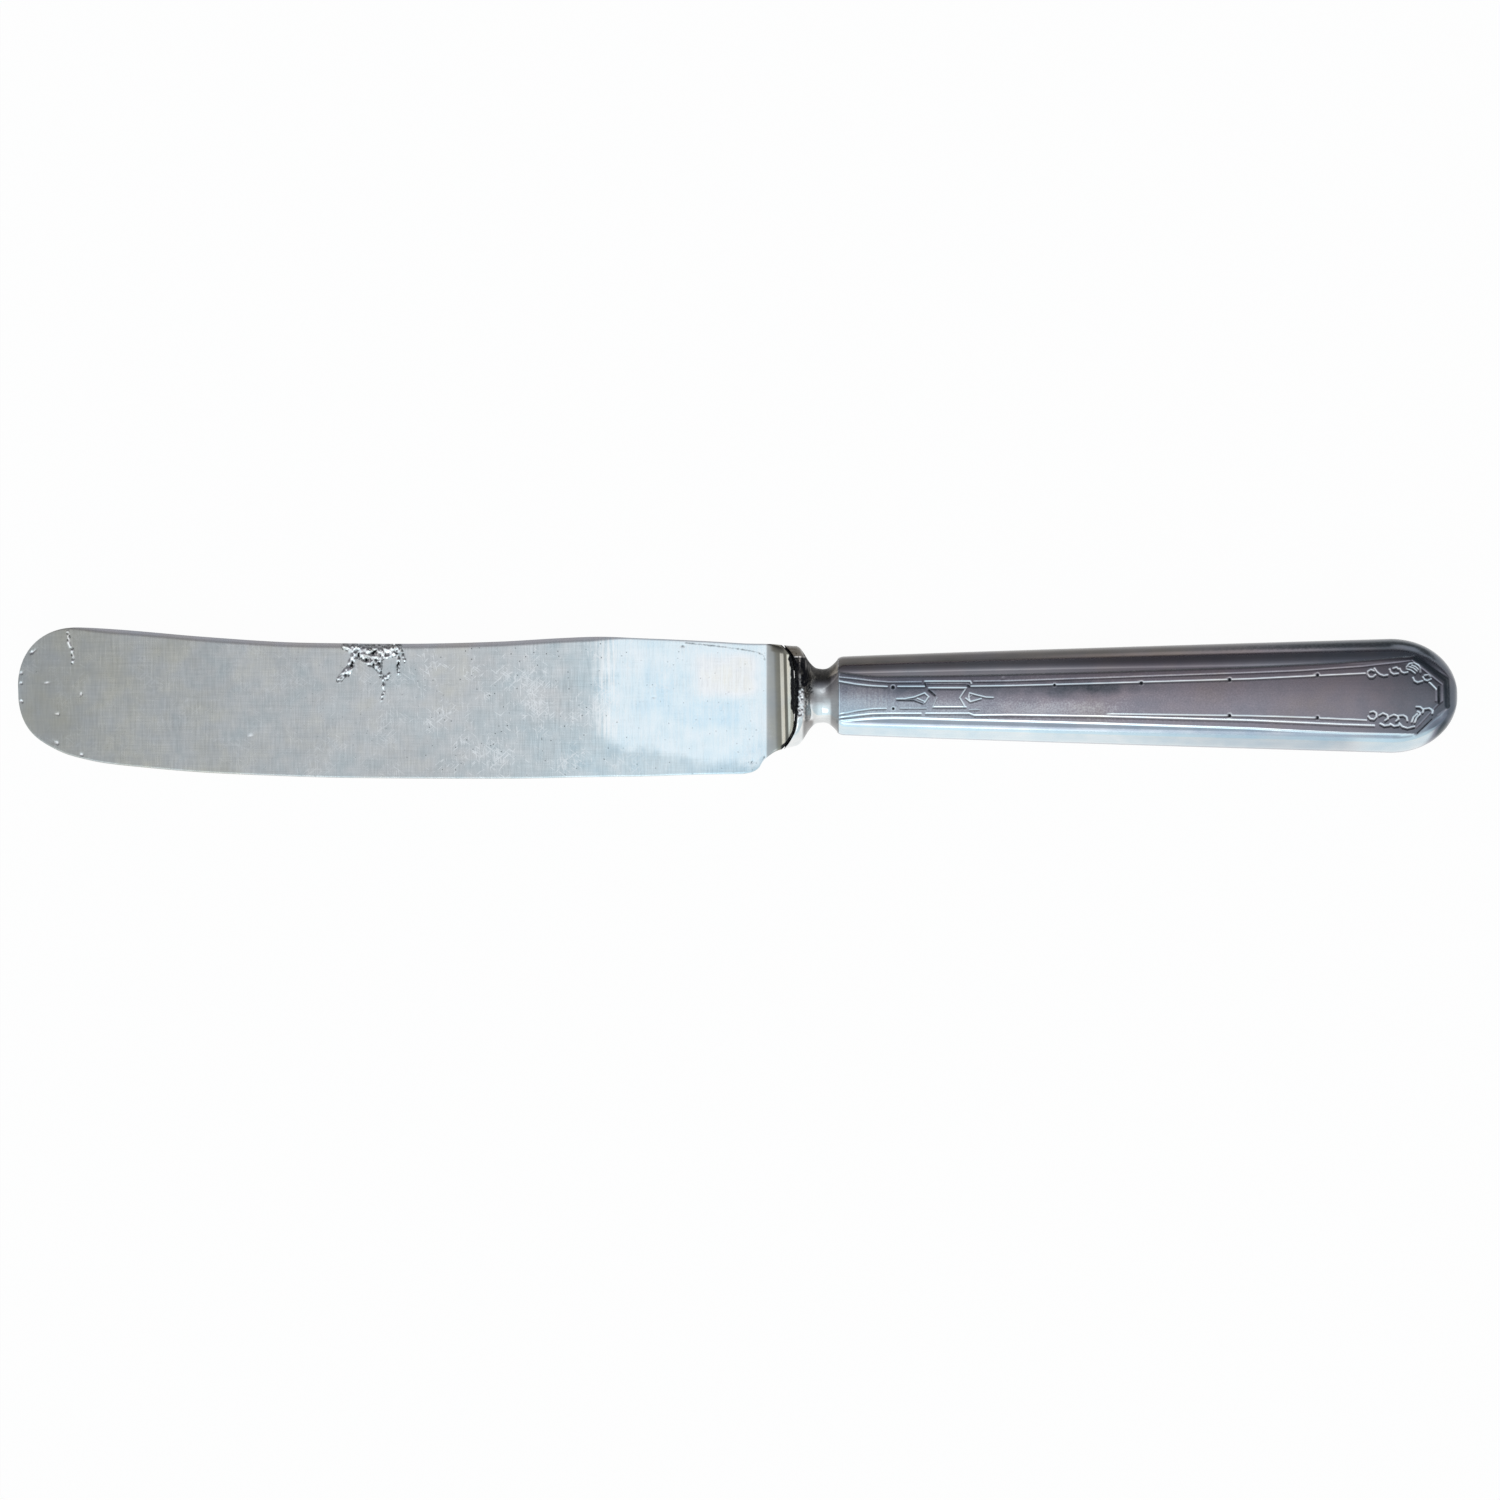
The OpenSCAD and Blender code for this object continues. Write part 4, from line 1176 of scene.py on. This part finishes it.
def shell_skin(along, rows, inner=False):
    """Points of the upper shell: rows from -1 to 1 across, as shares of its half width."""
    x = along[:, None]
    lip = LIP_DROP * (1 - limit((x - MOUTH_X) / LIP_L)) ** 2
    w, t, crown = handle_size(x, WALL_T if inner else lip)
    t = t - SEAM_T / 2
    y = w * rows[None, :]
    flat = w * FACE_FLAT
    side = limit((np.abs(y) - flat) / (w - flat))
    z = np.where(np.abs(y) > flat, (t - crown) * np.sqrt(1 - side**2), t - crown * (y / flat) ** 2)
    z = z + SEAM_T / 2
    return x + 0 * y, y, z


# Finer steps along the handle as (from, to, step): lip, ornament at the mouth and the butt, and four beads.
SHELL_ZONES = [
    (MOUTH_X, 7.4, 0.12), (14.0, 34.6, 0.1), (91.5, 107.4, 0.095), (107.4, 109.0, 0.14),
    (42.1, 43.1, 0.12), (56.7, 57.7, 0.12), (71.6, 72.6, 0.12), (86.3, 87.3, 0.12)]
# From here on the steps follow the round of the butt, and they stop just before its end.
ROUND_FROM_X = 109.0
ROUND_STOP = 1 - 0.0002
# The rows are even up to this share of the half width and then follow the round of the side.
EVEN_SHARE = 0.7
EVEN_ROWS = 119
SIDE_ROWS = 16
INNER_ROWS = 17
# The ornament ends before this share of the half width, and fades over another.
ORNAMENT_SHARE = 0.86
ORNAMENT_FADE = 0.1


def butt_places(start_x, count):
    """Places from start_x over the butt, even round its curve."""
    turn = np.linspace(math.asin(1 - (BUTT_X - start_x) / BUTT_ROUND_L), math.asin(ROUND_STOP), count)[1:]
    return BUTT_X - BUTT_ROUND_L * (1 - np.sin(turn))


def outer_rows():
    """Rows across the shell from -1 to 1, as shares of its half width."""
    turn = np.linspace(math.asin((EVEN_SHARE - FACE_FLAT) / (1 - FACE_FLAT)), math.pi / 2, SIDE_ROWS)[1:]
    side = FACE_FLAT + (1 - FACE_FLAT) * np.sin(turn)
    return np.concatenate([-side[::-1], np.linspace(-EVEN_SHARE, EVEN_SHARE, EVEN_ROWS), side])


def engraved_shell(along, rows):
    """Points of the upper shell's outer skin with its ornament, and their marks."""
    x, y, z = shell_skin(along, rows)
    seen_x, seen_y = as_seen(x, y, z)
    depth, clean, dark = handle_relief(seen_x, seen_y)
    room = 1 - ease((np.abs(rows) - ORNAMENT_SHARE) / ORNAMENT_FADE)
    plain_normals = grid_normals(np.stack([x, y, z], -1))
    marks = handle_marks(seen_x, seen_y, plain_normals, clean * room, dark * room)
    return np.stack([x, y, z - depth * room], -1).reshape(-1, 3), marks


def shares_of(places):
    return (places - places[0]) / (places[-1] - places[0])


def shell_faces(along, rows, inner_along, inner_rows):
    """Faces of both skins, and of the seam, the mouth and the butt's end, which join them."""
    n, m = len(rows), len(inner_rows)
    count, inner_count = len(along), len(inner_along)
    first = count * n
    faces = skin_faces(count, n) + skin_faces(inner_count, m, first, turned=True)
    for column, inner_column, turned in ((0, 0, True), (n - 1, m - 1, False)):
        a = [i * n + column for i in range(count)]
        b = [first + i * m + inner_column for i in range(inner_count)]
        faces += zip_faces(a, b, shares_of(along), shares_of(inner_along), turned)
    faces += zip_faces(list(range(n)), [first + j for j in range(m)], rows, inner_rows)
    end, inner_end = (count - 1) * n, first + (inner_count - 1) * m
    faces.append([end + j for j in range(n)][::-1])
    faces.append([inner_end + j for j in range(m)])
    faces.append([end + n - 1, inner_end + m - 1, inner_end, end])
    return faces


def build_shell(name, node_name, face):
    """One half of the handle, above the seam for face 1 and turned over below it for face -1."""
    along = np.append(stations(MOUTH_X, ROUND_FROM_X, 0.45, SHELL_ZONES), butt_places(ROUND_FROM_X, 40))
    rows = outer_rows()
    outer, marks = engraved_shell(along, rows)
    round_x = BUTT_X - BUTT_ROUND_L
    inner_along = np.append(stations(MOUTH_X, round_x, 6.0), butt_places(round_x, 12))
    inner_rows = np.sin(np.linspace(-math.pi / 2, math.pi / 2, INNER_ROWS))
    x, y, z = shell_skin(inner_along, inner_rows, inner=True)
    x = MOUTH_X + (x - MOUTH_X) * (HANDLE_L - WALL_T) / HANDLE_L
    inner = np.stack([x, y, z], -1).reshape(-1, 3)
    points = np.concatenate([outer, inner])
    faces = shell_faces(along, rows, inner_along, inner_rows)
    if face < 0:
        points = points * (1, 1, -1)
        faces = [f[::-1] for f in faces]
    marks = extend_marks(marks, len(inner))
    new_piece(name, points, faces, node_name, handle_plate, marks)


def dress_nodes():
    """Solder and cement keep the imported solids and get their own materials."""
    looks = {
        "blade_solder": dark_solder, "mouth_solder": soft_solder, "seam_solder": soft_solder,
        "handle_cement": cement}
    for name, material in looks.items():
        for place_on_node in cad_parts[name].material_slots:
            place_on_node.material = material


# Studio

# Light of the world from the front, over above, to the back.
SKY = [
    (0.0, (0.8, 0.93, 1.0)), (0.25, (0.82, 0.94, 1.0)), (0.4, (0.85, 0.92, 0.97)), (0.47, (0.9, 0.95, 1.0)),
    (0.5, (0.8, 0.81, 0.84)), (0.55, (0.55, 0.55, 0.58)), (0.62, (0.3, 0.3, 0.33)),
    (0.75, (0.15, 0.15, 0.17)), (0.88, (0.1, 0.1, 0.11)), (1.0, (0.085, 0.085, 0.095))]
WALL_TONE = (0.95, 0.94, 0.92)
FLOOR_HALF_W = 3.0
# How much of the floor's look is plain white, and the rest is lit and takes the shadow.
FLOOR_WHITE = 0.97


def build_world():
    """Soft studio light: bright from the front, dark behind, with a low pale wall all round."""
    world = bpy.data.worlds.new("studio")
    bpy.context.scene.world = world
    world.use_nodes = True
    tree = world.node_tree
    way = node(tree, "TexCoord").outputs["Generated"]
    x, y, z = node(tree, "SeparateXYZ", {0: way}).outputs
    sky = colour_ramp(tree, maths(tree, "MULTIPLY_ADD", y, 0.5, 0.5), SKY)
    sky = blend_colour(tree, 1.0, sky, grey(tree, ranged(tree, x, 0.0, 0.5, 1.0, 0.75)), "MULTIPLY")
    sky = blend_colour(tree, ranged(tree, z, 0.12, 0.2, 1.0, 0.0), sky, colour(WALL_TONE))
    feed(tree, tree.nodes["Background"], {"Color": sky, "Strength": 1.05})


def build_light(name, centre, target, size, power):
    data = bpy.data.lights.new(name, "AREA")
    data.shape = "RECTANGLE"
    data.size, data.size_y = size
    data.energy = power
    lamp = add_object(name, data)
    lamp.location = centre
    lamp.rotation_euler = (Vector(centre) - Vector(target)).to_track_quat("Z", "Y").to_euler()


def build_floor():
    """White floor that still takes the knife's shadow."""
    mesh = bpy.data.meshes.new("floor")
    corners = [(x * FLOOR_HALF_W, y * FLOOR_HALF_W, 0) for x, y in ((-1, -1), (1, -1), (1, 1), (-1, 1))]
    mesh.from_pydata(corners, [], [(0, 1, 2, 3)])
    material, tree, shader = new_material("floor_white")
    tree.nodes.remove(shader)
    rays = node(tree, "LightPath").outputs
    seen = maths(tree, "MAXIMUM", rays["Is Camera Ray"], rays["Is Glossy Ray"])
    seen = maths(tree, "MAXIMUM", seen, rays["Is Transmission Ray"])
    tint = grey(tree, ranged(tree, noise(tree, 40.0), 0.0, 1.0, 0.93, 0.95))
    plain = node(tree, "BsdfDiffuse", {"Color": tint}).outputs[0]
    white = node(tree, "Emission", {"Strength": 1.0}).outputs[0]
    lit = node(tree, "MixShader", {0: FLOOR_WHITE, 1: plain, 2: white}).outputs[0]
    shown = node(tree, "MixShader", {0: seen, 1: plain, 2: lit}).outputs[0]
    feed(tree, tree.nodes["Material Output"], {"Surface": shown})
    mesh.materials.append(material)
    add_object("floor", mesh)


def build_camera():
    """Straight above the middle of the picture, with a long lens."""
    data = bpy.data.cameras.new("camera")
    data.lens = LENS
    data.sensor_width = SENSOR_W
    camera = add_object("camera", data)
    camera.location = (VIEW_X * MM, VIEW_Y * MM, (AXIS_Z + VIEW_AWAY) * MM)
    bpy.context.scene.camera = camera


build_camera()
build_blade()
build_bolster()
build_shell("handle_upper_shell", "handle_front_shell", 1)
build_shell("handle_lower_shell", "handle_back_shell", -1)
dress_nodes()
build_world()
build_light("softbox", (-0.3, -1.1, 1.0), (0, 0, 0), (0.9, 0.6), 2.0)
build_floor()
bpy.context.scene.view_settings.view_transform = "Standard"
